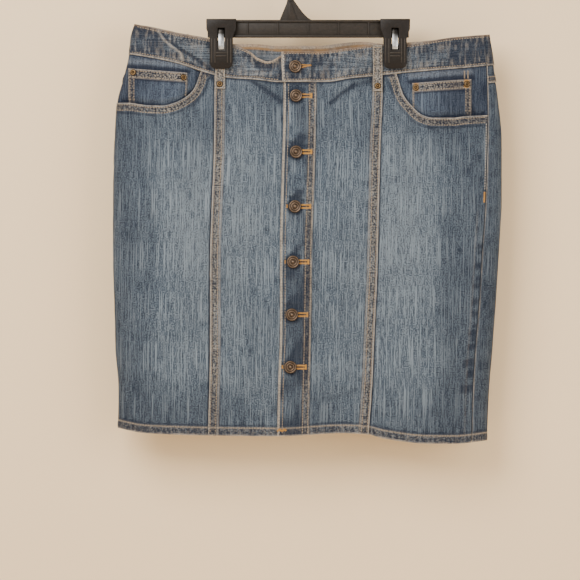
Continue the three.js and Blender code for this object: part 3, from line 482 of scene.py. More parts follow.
class Shader:
    """A short way to add and join nodes in one tree."""

    def __init__(self, tree: bpy.types.NodeTree) -> None:
        """Starts with an empty tree."""
        self.tree = tree
        tree.nodes.clear()

    def add(self, kind: str, **values: object) -> bpy.types.Node:
        """Adds a node.

        Args:
            kind: the node's type name.
            values: attributes, or sockets by index as in_0, in_1 and so on.

        Returns:
            The node.
        """
        node = self.tree.nodes.new(kind)
        for name, value in values.items():
            if name.startswith("in_"):
                self.feed(node.inputs[int(name[3:])], value)
            else:
                setattr(node, name, value)
        return node

    def feed(self, socket: bpy.types.NodeSocket, value: object) -> None:
        """Joins an output to a socket, or sets the socket's own value."""
        if isinstance(value, bpy.types.NodeSocket):
            self.tree.links.new(value, socket)
        else:
            socket.default_value = value

    def math(self, what: str, *values: object) -> bpy.types.NodeSocket:
        """Returns the result of a math node."""
        node = self.add("ShaderNodeMath", operation=what)
        for index, value in enumerate(values):
            self.feed(node.inputs[index], value)
        return node.outputs[0]

    def noise(self, vector: object, detail: float, rough: float = 0.5) -> bpy.types.NodeSocket:
        """Returns the value of a noise of scale 1 on already scaled coordinates."""
        node = self.add("ShaderNodeTexNoise")
        self.feed(node.inputs["Vector"], vector)
        self.feed(node.inputs["Scale"], 1.0)
        self.feed(node.inputs["Detail"], detail)
        self.feed(node.inputs["Roughness"], rough)
        return node.outputs[0]

    def scaled(self, vector: object, x: float, y: float, z: float = 1.0) -> bpy.types.NodeSocket:
        """Returns coordinates multiplied by a scale in each direction."""
        node = self.add("ShaderNodeVectorMath", operation="MULTIPLY")
        self.feed(node.inputs[0], vector)
        self.feed(node.inputs[1], (x, y, z))
        return node.outputs[0]

    def remap(
        self, value: object, low: float, high: float, to_low: float, to_high: float,
    ) -> bpy.types.NodeSocket:
        """Returns a value moved from one range to another, held inside it."""
        node = self.add("ShaderNodeMapRange", clamp=True)
        for index, number in enumerate((value, low, high, to_low, to_high)):
            self.feed(node.inputs[index], number)
        return node.outputs[0]

    def mix(self, share: object, first: object, second: object, blend: str = "MIX") -> bpy.types.NodeSocket:
        """Returns two colours mixed by a share."""
        node = self.add("ShaderNodeMix", data_type="RGBA", blend_type=blend)
        self.feed(node.inputs["Factor"], share)
        self.feed(node.inputs[6], first)
        self.feed(node.inputs[7], second)
        return node.outputs[2]


def group_tree(name: str, inputs: Sequence[tuple], outputs: Sequence[tuple]) -> Shader:
    """Makes an empty shader node group with its sockets.

    Args:
        name: the group's name.
        inputs: name, socket type and default of each input.
        outputs: name and socket type of each output.

    Returns:
        The group's tree, ready to build.
    """
    tree = bpy.data.node_groups.new(name, "ShaderNodeTree")
    for title, kind, value in inputs:
        socket = tree.interface.new_socket(title, in_out="INPUT", socket_type=kind)
        socket.default_value = value
    for title, kind in outputs:
        tree.interface.new_socket(title, in_out="OUTPUT", socket_type=kind)
    return Shader(tree)


# Repeats a metre of each weave effect, across and along the warp.
SPECKLE, SLUBS, LONG_YARNS, TWILL = (980, 620), (1000, 75), (900, 15), (5200, 3600)
# Colours of worn edges, of the rusty top edge of the waistband and of the bands between two rows of
# stitches.
WORN_TAN, RUST = (0.41, 0.345, 0.268, 1), (0.3, 0.165, 0.065, 1)
BAND_BROWN, TICK_DARK, TICK_PALE = (0.092, 0.071, 0.052, 1), (0.018, 0.018, 0.022, 1), (0.3, 0.258, 0.2, 1)


def denim_weave_group() -> bpy.types.NodeTree:
    """Builds the woven denim effect: a slubby twill with long streaks along the warp.

    Returns:
        A group from cloth coordinates in metres to masks and a height.
    """
    s = group_tree(
        "slub_denim_weave",
        (("Cloth", "NodeSocketVector", (0, 0, 0)),),
        (
            ("Streak", "NodeSocketFloat"),
            ("Dark", "NodeSocketFloat"),
            ("Mottle", "NodeSocketFloat"),
            ("Twill", "NodeSocketFloat"),
            ("Height", "NodeSocketFloat"),
        ),
    )
    cloth = s.add("NodeGroupInput").outputs[0]
    grain = s.noise(s.scaled(cloth, *SPECKLE), 0.0)
    fine = s.noise(s.scaled(cloth, *SLUBS), 0.0)
    long = s.noise(s.scaled(cloth, *LONG_YARNS), 0.0)
    bright = s.math("ADD", s.math("MULTIPLY", fine, 0.38), s.math("MULTIPLY", grain, 0.62))
    light = s.math("MULTIPLY", s.remap(bright, 0.515, 0.59, 0, 1), 0.75)
    lines = s.remap(long, 0.61, 0.66, 0, 1)
    streak = s.math("MAXIMUM", light, lines)
    dark = s.remap(bright, 0.49, 0.4, 0, 1)
    mottle = s.noise(s.scaled(cloth, 60, 34), 3.0, 0.6)
    parts = s.add("ShaderNodeSeparateXYZ", in_0=cloth)
    slant = [s.math("MULTIPLY", parts.outputs[k], TWILL[k]) for k in range(2)]
    diagonal = s.math("ADD", *slant)
    twill = s.math("SINE", diagonal)
    height = s.math("ADD", s.math("MULTIPLY", twill, 0.35), s.math("MULTIPLY", bright, 3.0))
    out = s.add("NodeGroupOutput")
    for index, value in enumerate((streak, dark, mottle, twill, height)):
        s.feed(out.inputs[index], value)
    return s.tree


def wear_group() -> bpy.types.NodeTree:
    """Builds a broken-up wear mask from a painted mask and cloth coordinates."""
    s = group_tree(
        "rubbed_edges",
        (("Cloth", "NodeSocketVector", (0, 0, 0)), ("Mask", "NodeSocketFloat", 0.0)),
        (("Wear", "NodeSocketFloat"),),
    )
    source = s.add("NodeGroupInput")
    grit = s.noise(s.scaled(source.outputs[0], 420, 420), 3.0, 0.65)
    broken = s.math("MULTIPLY", source.outputs[1], s.remap(grit, 0.32, 0.62, 0.25, 1.0))
    s.feed(s.add("NodeGroupOutput").inputs[0], broken)
    return s.tree


def dust_group() -> bpy.types.NodeTree:
    """Builds a faint mask of dust and fine scratches for hard pieces.

    Returns:
        A group from object coordinates to the two masks.
    """
    s = group_tree(
        "faint_dust",
        (("Place", "NodeSocketVector", (0, 0, 0)),),
        (("Dust", "NodeSocketFloat"), ("Scratch", "NodeSocketFloat")),
    )
    place = s.add("NodeGroupInput").outputs[0]
    dust = s.remap(s.noise(s.scaled(place, 900, 900, 900), 4.0, 0.7), 0.55, 0.75, 0, 1)
    scratch = s.remap(s.noise(s.scaled(place, 90, 900, 2600), 2.0, 0.6), 0.6, 0.68, 0, 1)
    out = s.add("NodeGroupOutput")
    s.feed(out.inputs[0], dust)
    s.feed(out.inputs[1], scratch)
    return s.tree


@dataclass(frozen=True)
class DenimFinish:
    """Faded slub denim: its yarn colours, the deep colour of its painted shade, and how strongly each effect
    shows.
    """

    name: str
    body: tuple[float, float, float]
    light: tuple[float, float, float]
    # The colour that the painted shade darkens the cloth towards.
    deep: tuple[float, float, float]
    pale: tuple[float, float, float] = (0.207, 0.243, 0.272)
    yarn: tuple[float, float, float] = (0.014, 0.02, 0.032)
    streaks: float = 0.85
    relief: float = 0.55

    def build(self) -> bpy.types.Material:
        """Returns the material.

        Returns:
            The material.
        """
        material = bpy.data.materials.new(self.name)
        material.use_nodes = True
        s = Shader(material.node_tree)
        cloth = s.add("ShaderNodeUVMap", uv_map="cloth").outputs[0]
        weave = s.add("ShaderNodeGroup", node_tree=bpy.data.node_groups["slub_denim_weave"], in_0=cloth)
        fade = s.add("ShaderNodeAttribute", attribute_name="fade").outputs[2]
        wear_and_painted_light = s.add("ShaderNodeAttribute", attribute_name="wear_and_painted_light").outputs[2]
        painted_shade = s.add("ShaderNodeAttribute", attribute_name="shade").outputs[2]
        rust = s.add("ShaderNodeAttribute", attribute_name="rust").outputs[2]
        wear = s.add("ShaderNodeGroup", node_tree=bpy.data.node_groups["rubbed_edges"], in_0=cloth, in_1=wear_and_painted_light)
        worn_band = s.add("ShaderNodeAttribute", attribute_name="band").outputs[2]
        base = s.mix(s.remap(weave.outputs["Mottle"], 0.3, 0.7, 0, 0.3), (*self.body, 1), (*self.light, 1))
        # Faded dye; on the pocket facings this share also carries a painted highlight where they puff out.
        base = s.mix(s.math("MULTIPLY", fade, 0.8), base, (*self.light, 1))
        base = s.mix(s.math("MULTIPLY", worn_band, 0.65), base, BAND_BROWN)
        ticks = s.noise(s.scaled(cloth, 430, 470), 1.0, 0.6)
        dark_ticks = s.math("MULTIPLY", worn_band, s.remap(ticks, 0.49, 0.42, 0, 1.0))
        pale_ticks = s.math("MULTIPLY", worn_band, s.remap(ticks, 0.51, 0.58, 0, 0.85))
        base = s.mix(s.math("MULTIPLY", weave.outputs["Dark"], self.streaks), base, (*self.yarn, 1))
        base = s.mix(s.math("MULTIPLY", weave.outputs["Streak"], self.streaks), base, (*self.pale, 1))
        base = s.mix(s.remap(weave.outputs["Twill"], -0.9, 0.9, 0.0, 0.1), base, (*self.pale, 1))
        base = s.mix(dark_ticks, base, TICK_DARK)
        base = s.mix(pale_ticks, base, TICK_PALE)
        # Painted shade: where the shade share is painted, the denim darkens towards its deep colour.
        base = s.mix(s.math("MULTIPLY", painted_shade, 0.8), base, (*self.deep, 1))
        # Wear, and a faint painted highlight where the pocket facings puff out.
        base = s.mix(s.math("MULTIPLY", wear.outputs[0], 0.9), base, WORN_TAN)
        base = s.mix(s.math("MULTIPLY", rust, 0.8), base, RUST)
        bump = s.add("ShaderNodeBump")
        bump.inputs["Strength"].default_value = self.relief
        bump.inputs["Distance"].default_value = 0.00035
        s.feed(bump.inputs["Height"], weave.outputs["Height"])
        shader = s.add("ShaderNodeBsdfPrincipled")
        s.feed(shader.inputs["Base Color"], base)
        s.feed(shader.inputs["Normal"], bump.outputs[0])
        shader.inputs["Roughness"].default_value = 0.93
        shader.inputs["Specular IOR Level"].default_value = 0.08
        shader.inputs["Sheen Weight"].default_value = 0.04
        shader.inputs["Sheen Roughness"].default_value = 0.5
        s.feed(s.add("ShaderNodeOutputMaterial").inputs[0], shader.outputs[0])
        return material


@dataclass(frozen=True)
class ThreadFinish:
    """Twisted sewing thread."""

    name: str
    colour: tuple[float, float, float]
    worn: tuple[float, float, float]

    def build(self) -> bpy.types.Material:
        """Returns the material.

        Returns:
            The material.
        """
        material = bpy.data.materials.new(self.name)
        material.use_nodes = True
        s = Shader(material.node_tree)
        place = s.add("ShaderNodeTexCoord").outputs["Object"]
        patch = s.noise(s.scaled(place, 70, 70, 70), 3.0, 0.6)
        twist = s.noise(s.scaled(place, 2600, 2600, 2600), 1.0)
        base = s.mix(s.remap(patch, 0.35, 0.65, 0, 0.8), (*self.colour, 1), (*self.worn, 1))
        bump = s.add("ShaderNodeBump")
        bump.inputs["Strength"].default_value = 0.4
        bump.inputs["Distance"].default_value = 0.0002
        s.feed(bump.inputs["Height"], twist)
        shader = s.add("ShaderNodeBsdfPrincipled")
        s.feed(shader.inputs["Base Color"], base)
        s.feed(shader.inputs["Normal"], bump.outputs[0])
        shader.inputs["Roughness"].default_value = 0.7
        shader.inputs["Sheen Weight"].default_value = 0.2
        s.feed(s.add("ShaderNodeOutputMaterial").inputs[0], shader.outputs[0])
        return material


@dataclass(frozen=True)
class HardFinish:
    """Metal or plastic with faint dust and fine scratches; a painted share of its bright colour gives worn
    raised metal beside darker hollows, a painted highlight on the jaws' ribs, and the springs' bright steel
    below their painted shadow.
    """

    name: str
    colour: tuple[float, float, float]
    bright: tuple[float, float, float]
    rough: float
    metal: float
    scratched: float = 0.3
    gloss: float = 0.5

    def build(self) -> bpy.types.Material:
        """Returns the material.

        Returns:
            The material.
        """
        material = bpy.data.materials.new(self.name)
        material.use_nodes = True
        s = Shader(material.node_tree)
        place = s.add("ShaderNodeTexCoord").outputs["Object"]
        dust = s.add("ShaderNodeGroup", node_tree=bpy.data.node_groups["faint_dust"], in_0=place)
        # Share of the bright colour: wear on buttons and rivets, a painted highlight on the jaws' ribs,
        # bright steel below the springs' painted shadow.
        wear_and_painted_light = s.add("ShaderNodeAttribute", attribute_name="wear_and_painted_light").outputs[2]
        patch = s.noise(s.scaled(place, 260, 260, 260), 3.0, 0.6)
        share = s.math("MULTIPLY", wear_and_painted_light, s.remap(patch, 0.3, 0.6, 0.5, 1.0))
        base = s.mix(share, (*self.colour, 1), (*self.bright, 1))
        base = s.mix(s.math("MULTIPLY", dust.outputs[0], 0.05), base, (0.5, 0.47, 0.42, 1))
        rough = s.remap(dust.outputs[1], 0, 1, self.rough, min(1.0, self.rough + self.scratched))
        shader = s.add("ShaderNodeBsdfPrincipled")
        s.feed(shader.inputs["Base Color"], base)
        s.feed(shader.inputs["Roughness"], rough)
        shader.inputs["Metallic"].default_value = self.metal
        shader.inputs["Specular IOR Level"].default_value = self.gloss
        s.feed(s.add("ShaderNodeOutputMaterial").inputs[0], shader.outputs[0])
        return material


class Wardrobe:
    """All the finishes, built once and handed out by name."""

    def __init__(self) -> None:
        """Builds the shared effects and the finishes."""
        denim_weave_group()
        wear_group()
        dust_group()
        self.denim = DenimFinish(
            "faded slub denim", (0.045, 0.062, 0.087), (0.132, 0.156, 0.179), (0.01, 0.013, 0.024)
        ).build()
        self.dark = DenimFinish(
            "less faded denim", (0.032, 0.043, 0.065), (0.075, 0.092, 0.12), (0.008, 0.01, 0.02),
            (0.12, 0.145, 0.18), (0.014, 0.019, 0.032), 0.8
        ).build()
        self.reverse = DenimFinish(
            "denim reverse", (0.085, 0.1, 0.12), (0.14, 0.16, 0.18), (0.03, 0.038, 0.05),
            (0.26, 0.275, 0.29), (0.05, 0.06, 0.075), 0.7
        ).build()
        self.threads = {
            Thread.TAN: ThreadFinish(
                "tan topstitch thread", (0.33, 0.235, 0.14), (0.15, 0.115, 0.08)).build(),
            Thread.GOLD: ThreadFinish(
                "gold topstitch thread", (0.5, 0.24, 0.025), (0.3, 0.13, 0.02)).build(),
            Thread.CREAM: ThreadFinish("cream edge thread", (0.47, 0.42, 0.34), (0.29, 0.255, 0.21)).build(),
        }
        self.button = HardFinish(
            "antiqued bronze", (0.034, 0.022, 0.014), (0.22, 0.15, 0.1), 0.4, 0.85
        ).build()
        self.rivet = HardFinish(
            "worn brass rivet", (0.02, 0.011, 0.005), (0.25, 0.155, 0.07), 0.42, 0.9).build()
        # The plastic's bright colour is a painted highlight on the jaws' ribs; the bar takes an even quarter
        # of it as its own colour.
        self.plastic = HardFinish(
            "black moulded plastic", (0.0095, 0.0062, 0.0038), (0.075, 0.06, 0.045), 0.45, 0.0, gloss=0.22
        ).build()
        # The dark colour here is the springs' painted shadow; the bright one is the steel itself.
        self.spring = HardFinish(
            "bright spring steel", (0.03, 0.027, 0.024), (0.88, 0.88, 0.87), 0.3, 1.0, 0.15
        ).build()


def spread(length: float, coarse: float, *dense: tuple[float, float, float]) -> Array:
    """Shares from 0 to 1 along a length, closer together in the dense spans.

    Args:
        length: the length, in millimetres.
        coarse: the usual step.
        dense: start, end and step of each span that needs more.

    Returns:
        The shares.
    """
    marks = [0.0]
    while marks[-1] < length:
        here, step = marks[-1], coarse
        for start, end, fine in dense:
            if here < start:
                step = min(step, max(fine, start - here))
            elif here < end:
                step = min(step, fine)
        marks.append(here + step)
    return np.array(marks) / marks[-1]


def beside(line: Across, turn: Array, z: Array) -> Array:
    """Returns the signed distance round the tube from a seam line, in millimetres."""
    dt = 0.004
    step = FORM.surface(turn + dt, z) - FORM.surface(turn - dt, z)
    return (turn - line(z)) * np.linalg.norm(step, axis=-1) / (2 * dt)


class Trace:
    """A line drawn across the front by places across and heights."""

    def __init__(self, points: Sequence[tuple[float, float]], step: float = 2.0) -> None:
        """Reads the corners and fills in points between them."""
        corners = np.array(points, float)
        lengths = np.linalg.norm(np.diff(corners, axis=0), axis=1)
        at = np.concatenate([[0], np.cumsum(lengths)])
        s = np.linspace(0, at[-1], max(2, int(at[-1] / step)))
        self.x = np.interp(s, at, corners[:, 0])
        self.z = np.interp(s, at, corners[:, 1])
        self.length = float(at[-1])

    @classmethod
    def along(cls, line: CutLine, x0: float, x1: float, drop: float = 0.0) -> "Trace":
        """Follows an edge line from one place across to another, moved down by a drop."""
        x = np.linspace(x0, x1, 160)
        return cls(list(zip(x, line(x) - drop)))

    def away(self, x: Array, z: Array) -> Array:
        """Returns the distance from the line at each place."""
        flat_x, flat_z = np.ravel(x), np.ravel(z)
        near = np.full(flat_x.shape, 1e9)
        for px, pz in zip(self.x, self.z):
            near = np.minimum(near, (flat_x - px) ** 2 + (flat_z - pz) ** 2)
        return np.sqrt(near).reshape(np.shape(x))

    def moved(self, distance: float) -> "Trace":
        """Returns the line moved to its right-hand side by a distance."""
        dx, dz = np.gradient(self.x), np.gradient(self.z)
        size = np.hypot(dx, dz)
        return Trace(list(zip(self.x + dz / size * distance, self.z - dx / size * distance)))

    def path(self) -> tuple[Array, Array]:
        """Returns the line as turns and heights on the front."""
        return FORM.turn_of(self.x, self.z), self.z


class Pleats:
    """The marked creases of the front, as lines with a width, a height and a tone."""

    def __init__(self) -> None:
        """Reads the table."""
        self.lines = [(Trace(points), wide, out, tone) for points, wide, out, tone in PLEATS]

    def _sum(self, turn: Array, z: Array, column: int) -> Array:
        """Sums one column of the table over each place near its line."""
        x = FORM.across(turn, z)
        total = np.zeros(np.shape(x))
        front = np.cos(turn) > 0
        for line in self.lines:
            trace, wide = line[0], line[1]
            near = front & (x > trace.x.min() - 20) & (x < trace.x.max() + 20)
            near &= (z > trace.z.min() - 20) & (z < trace.z.max() + 20)
            if near.any():
                total[near] += line[column] * ridge(trace.away(x[near], z[near]), 0, wide)
        return total

    def relief(self, turn: Array, z: Array) -> Array:
        """Returns how far the creases stand out."""
        return self._sum(np.atleast_1d(turn), np.atleast_1d(z), 2).reshape(np.shape(turn))

    def tone(self, turn: Array, z: Array) -> Array:
        """Returns the creases' tone: above 0 is rubbed, below 0 is painted shadow in the crease."""
        return self._sum(turn, z, 3)


PLEAT_LINES = Pleats()


def mottle(along: Array, away: Array, pitch: float = 1.5) -> Array:
    """Returns the light and dark ticks beside close sewing, from -1 to 1."""
    return np.clip(1.8 * FORM.along(along / pitch, away / 2.6 + 9), -1, 1)


def banded(inside: Array, along: Array, away: Array, tan: float = 1.0) -> dict[str, Array]:
    """Returns the tones of a sewn band: tan wear with light and dark ticks.

    Args:
        inside: 1 inside the band, 0 outside it.
        along: distance along the band.
        away: distance from its edge.
        tan: how strongly it is worn to tan.

    Returns:
        Shares for the painted effects.
    """
    beat = mottle(along, away)
    return {
        "band": inside * tan,
        "shade": inside * np.clip(beat, 0, 1) * 0.4,
        "wear_and_painted_light": inside * np.clip(-beat - 0.2, 0, 1) * 0.2,
    }


def summed(*tones: dict[str, Array]) -> dict[str, Array]:
    """Returns the sums of several sets of tones."""
    total: dict[str, Array] = {}
    for one in tones:
        for name, value in one.items():
            total[name] = total[name] + value if name in total else value
    return total


@dataclass
class CutPiece:
    """A cut piece of cloth that lies on the tube between two seams and two edges."""

    name: str
    left: Across
    right: Across
    bottom: Across
    top: Across
    columns: Array
    rows: Array
    thick: float = DENIM
    grain: Grain = Grain.UPRIGHT
    dark: bool = False
    hemmed: bool = False
    worn: float = 1.0
    deep_top: float = 0.0

    def relief(self, turn: Array, z: Array) -> Array:
        """Returns how far the face stands out from the tube."""
        return FORM.drape(turn, z)

    def point(self, turn: Array, z: Array, above: float = 0.0) -> Array:
        """Returns points on the face, in millimetres."""
        return FORM.place(turn, z, self.relief(turn, z) + above)

    def spots(self, turn: Array, z: Array) -> dict[str, Array]:
        """Returns this piece's own rubbed, shaded and rusty places, from 0 to 1."""
        return {}

    def tones(self, turn: Array, z: Array, out: Array) -> dict[str, Array]:
        """Works out how the dye has faded on the piece, and its painted shade: darker at the sides and in
        the hollows of folds and pleats, and darker towards the hem, the top and along the placket.

        Args:
            turn: the turns of the piece's points, by row and column.
            z: their heights.
            out: how far each stands out.

        Returns:
            Shares from 0 to 1 for each painted effect.
        """
        x = FORM.across(turn, z)
        side = np.where(np.cos(turn) >= 0, 1, -1)
        fade = 1.1 * np.exp(-(((x + 141) / 42) ** 2) - ((z + 362) / 130) ** 2)
        fade += 1.05 * np.exp(-(((x - 122) / 46) ** 2) - ((z + 362) / 150) ** 2)
        fade += 0.4 * np.exp(-(((x + 82) / 26) ** 2) - ((z + 330) / 190) ** 2)
        fade += 0.3 * np.exp(-(((x - 48) / 24) ** 2) - ((z + 350) / 190) ** 2)
        fade += 0.25 * FORM.broad(x / 30 + 9, z / 44)
        # Painted shade at the sides, where the cloth turns away; also darker towards the hem, along the
        # placket and towards the top.
        shade = 0.8 * ease(185, 245, -x) + 0.9 * ease(150, 210, x) + 0.75 * ease(-520, -640, z)
        shade += 0.3 * (1 - ease(8, 34, np.abs(x + 5))) + 0.25 * ease(-330, -150, z)
        shade += self.deep_top * ease(-280, -215, z) * (1 - ease(165, 210, np.abs(x)))
        shade += 0.3 * FORM.small(x / 26 + 5 * side, z / 60)
        # Raised places wear lighter; hollows get painted shade, and the pleats' dark lines are painted
        # shadow.
        high = out - smooth_grid(out, 3)
        tone = PLEAT_LINES.tone(turn, z)
        return {
            "fade": np.clip(fade, 0, 1) + np.clip(high / 0.3, 0, 1) * 0.45 * self.worn,
            "wear_and_painted_light": 0.65 * np.clip(tone, 0, 1),
            "shade": np.clip(shade, 0, 1) * 0.6 + np.clip(-high / 0.25, 0, 1) * 0.45 + np.clip(-tone, 0, 1),
            "rust": np.zeros_like(out),
            "band": np.zeros_like(out),
        }

    def build(self, wardrobe: "Wardrobe") -> bpy.types.Object:
        """Makes the piece: a fine grid laid on the tube, thickened inwards.

        Args:
            wardrobe: the finishes.

        Returns:
            The finished object.
        """
        across, up = len(self.columns) - 1, len(self.rows) - 1
        bm = bmesh.new()
        bmesh.ops.create_grid(bm, x_segments=across, y_segments=up, size=0.5)
        mesh = bpy.data.meshes.new(self.name)
        bm.to_mesh(mesh)
        bm.free()
        flat = np.empty(len(mesh.vertices) * 3)
        mesh.vertices.foreach_get("co", flat)
        flat = flat.reshape(-1, 3)
        i = np.rint((flat[:, 0] + 0.5) * across).astype(int)
        j = np.rint((flat[:, 1] + 0.5) * up).astype(int)
        a, b = np.meshgrid(self.columns, self.rows)
        z = np.full(a.shape, -300.0)
        for _ in range(7):
            turn = self.left(z) + (self.right(z) - self.left(z)) * a
            low = self.bottom(turn)
            z = low + (self.top(turn) - low) * b
        out = self.relief(turn, z)
        points = FORM.place(turn, z, out) * MM
        mesh.vertices.foreach_set("co", points[j, i].ravel())
        self._lay_cloth(mesh, turn, z, i, j)
        tones = self.tones(turn, z, out)
        for name, value in self.spots(turn, z).items():
            tones[name] = tones[name] + value
        for name, value in tones.items():
            layer = mesh.attributes.new(name, "FLOAT", "POINT")
            layer.data.foreach_set("value", np.clip(value, 0, 1)[j, i].astype(np.float32))
        mesh.shade_smooth()
        obj = bpy.data.objects.new(self.name, mesh)
        bpy.context.scene.collection.objects.link(obj)
        mesh.materials.append(wardrobe.dark if self.dark else wardrobe.denim)
        mesh.materials.append(wardrobe.reverse)
        self._thicken(obj, (z - self.bottom(turn))[j, i])
        return obj

    def _lay_cloth(self, mesh: bpy.types.Mesh, turn: Array, z: Array, i: Array, j: Array) -> None:
        """Writes the cloth coordinates, in metres, along the piece's own grain.

        Args:
            mesh: the piece's mesh.
            turn: the turns of the points.
            z: their heights.
            i: each vertex's column.
            j: each vertex's row.
        """
        angles = np.radians(np.linspace(-200, 280, 961))
        line = FORM.surface(angles, np.full(angles.shape, -400.0))
        arc = np.concatenate([[0], np.cumsum(np.linalg.norm(np.diff(line, axis=0), axis=1))])
        scale = FORM.half(z) / FORM.half(np.array(-400.0))
        round_tube = (np.interp(turn, angles, arc) - np.interp(0, angles, arc)) * scale
        u, v = round_tube * MM, z * MM
        if self.grain is Grain.LEVEL:
            u, v = v, u
        shift = (sum(map(ord, self.name)) % 97) * 0.37
        layer = mesh.uv_layers.new(name="cloth")
        corner = np.empty(len(mesh.loops), int)
        mesh.loops.foreach_get("vertex_index", corner)
        uv = np.stack([u[j, i][corner] + shift, v[j, i][corner] + shift], axis=-1)
        layer.data.foreach_set("uv", uv.ravel().astype(np.float32))

    def _thicken(self, obj: bpy.types.Object, above: Array) -> None:
        """Gives the cloth its thickness, doubled in a turned-up hem, and rounds its edges.

        Args:
            obj: the piece.
            above: how far each vertex lies above the hem's lower edge.
        """
        solid = obj.modifiers.new("thickness", "SOLIDIFY")
        solid.thickness = self.thick * MM
        solid.offset = -1
        solid.material_offset = 1
        solid.material_offset_rim = 0
        if self.hemmed:
            solid.thickness = 2 * DENIM * MM
            group = obj.vertex_groups.new(name="turned up")
            share = 1 - 0.5 * ease(HEM_HEIGHT - 1.5, HEM_HEIGHT + 0.5, above)
            for index, value in enumerate(share):
                group.add([index], float(value), "REPLACE")
            solid.vertex_group = group.name
        bevel = obj.modifiers.new("edge", "BEVEL")
        bevel.width = 0.42 * MM
        bevel.segments = 2
        bevel.limit_method = "ANGLE"
        bevel.angle_limit = math.radians(55)
        bevel.use_clamp_overlap = True


def smooth_grid(values: Array, reach: int) -> Array:
    """Returns the mean of each value's neighbours in a grid, within a reach of cells."""
    padded = np.pad(values, reach, mode="edge")
    total = np.zeros_like(values)
    count = 2 * reach + 1
    for dj in range(count):
        total += padded[dj:dj + values.shape[0], reach:reach + values.shape[1]]
    rows = total / count
    padded = np.pad(rows, reach, mode="edge")
    total = np.zeros_like(values)
    for di in range(count):
        total += padded[reach:reach + values.shape[0], di:di + values.shape[1]]
    return total / count


def fell_band(away: Array, along: Array) -> Array:
    """Returns the relief of a flat-felled band, from its folded edge inwards.

    Args:
        away: distance from the folded edge.
        along: distance along the band.

    Returns:
        How far the band stands out, with the grooves of its two rows of sewing.
    """
    rise = FELL_RISE * (1 - ease(FELL_WIDTH - 0.8, FELL_WIDTH + 1.0, away)) + 0.25 * ridge(away, 0.6, 1.2)
    groove = -0.42 * ridge(away, 2.6, 0.95) - 0.42 * ridge(away, 9.8, 0.95)
    inside = ease(0, 2, away) * (1 - ease(FELL_WIDTH - 2, FELL_WIDTH, away))
    ropes = 0.3 * FORM.along(along / 4.2 + away / 22, away / 7 + 4) * inside
    return rise + groove + ropes + FORM.pucker(np.maximum(away - FELL_WIDTH, 0), along, 0.55, 8, 10) * ease(
        FELL_WIDTH, FELL_WIDTH + 2, away)


def hem_tones(turn: Array, z: Array) -> dict[str, Array]:
    """Returns the tones of the turned-up hem: worn edges with slanting ticks between, and a painted shadow
    just above the band's upper edge.
    """
    high = z - FORM.hem_height(turn)
    around = turn * 245
    edge = 0.8 * (1 - ease(0.6, 2.2, high)) * (0.7 + 0.6 * FORM.along(around / 9, 2))
    line = 0.55 * ridge(high, HEM_HEIGHT - 1.6, 1.1)
    inside = ease(0.5, 1.6, high) * (1 - ease(HEM_HEIGHT - 1, HEM_HEIGHT, high))
    band = banded(inside, around + 0.7 * high, high, 0.55)
    # The shade share just above the band is a painted shadow under its edge.
    return summed(band, {"wear_and_painted_light": edge + line, "shade": 0.55 * ridge(high, HEM_HEIGHT + 1.2, 1.3)})


def beside_band(away: Array, along: Array) -> Array:
    """Returns the relief of the cloth that goes in under a felled band."""
    return -0.75 * (1 - ease(0, 2.2, away)) + FORM.pucker(away, along + 77, 0.6, 8, 10)


def side_blots(away: Array, z: Array) -> Array:
    """Returns the dark puckers in front of the right side seam, from 0 to 1."""
    total = np.zeros(np.broadcast(away, z).shape)
    for height, tall, reach in SIDE_BLOTS:
        span = ease(0.8, 2.4, away) * (1 - ease(reach - 4, reach, away))
        total = total + ridge(z + 0.12 * away, height, tall) * span
    return np.clip(total, 0, 1)


@dataclass
class FrontCentre(CutPiece):
    """A front panel beside the placket, whose outer edge is a flat-felled band."""

    outer: Across = None
    sign: float = 1.0
    deep_top: float = 0.5

    def relief(self, turn: Array, z: Array) -> Array:
        """Returns how far the face stands out from the tube."""
        away = self.sign * beside(self.outer, turn, z)
        cloth = FORM.drape(turn, z) + PLEAT_LINES.relief(turn, z) + FORM.hem_relief(turn, z)
        return cloth + fell_band(away, z + 50 * self.sign)

    def spots(self, turn: Array, z: Array) -> dict[str, Array]:
        """Returns this piece's own rubbed, shaded and rusty places, from 0 to 1."""
        away = self.sign * beside(self.outer, turn, z)
        rim = (1 - ease(1.2, 2.2, away)) * (0.95 + 0.4 * FORM.along(z / 12, 1))
        foot = ridge(away, FELL_WIDTH + 0.4, 1.1) * 0.5
        inside = ease(1.6, 2.6, away) * (1 - ease(FELL_WIDTH - 2.0, FELL_WIDTH, away))
        # Painted shadow under the waistband's foot.
        top = 1.3 * (1 - ease(1.4, 4.2, FORM.seam_height(turn) - z))
        own = {"wear_and_painted_light": rim + foot, "shade": top + ridge(away, 3.6, 0.9) * 0.35}
        return summed(own, banded(inside, z, away, 0.8), hem_tones(turn, z))


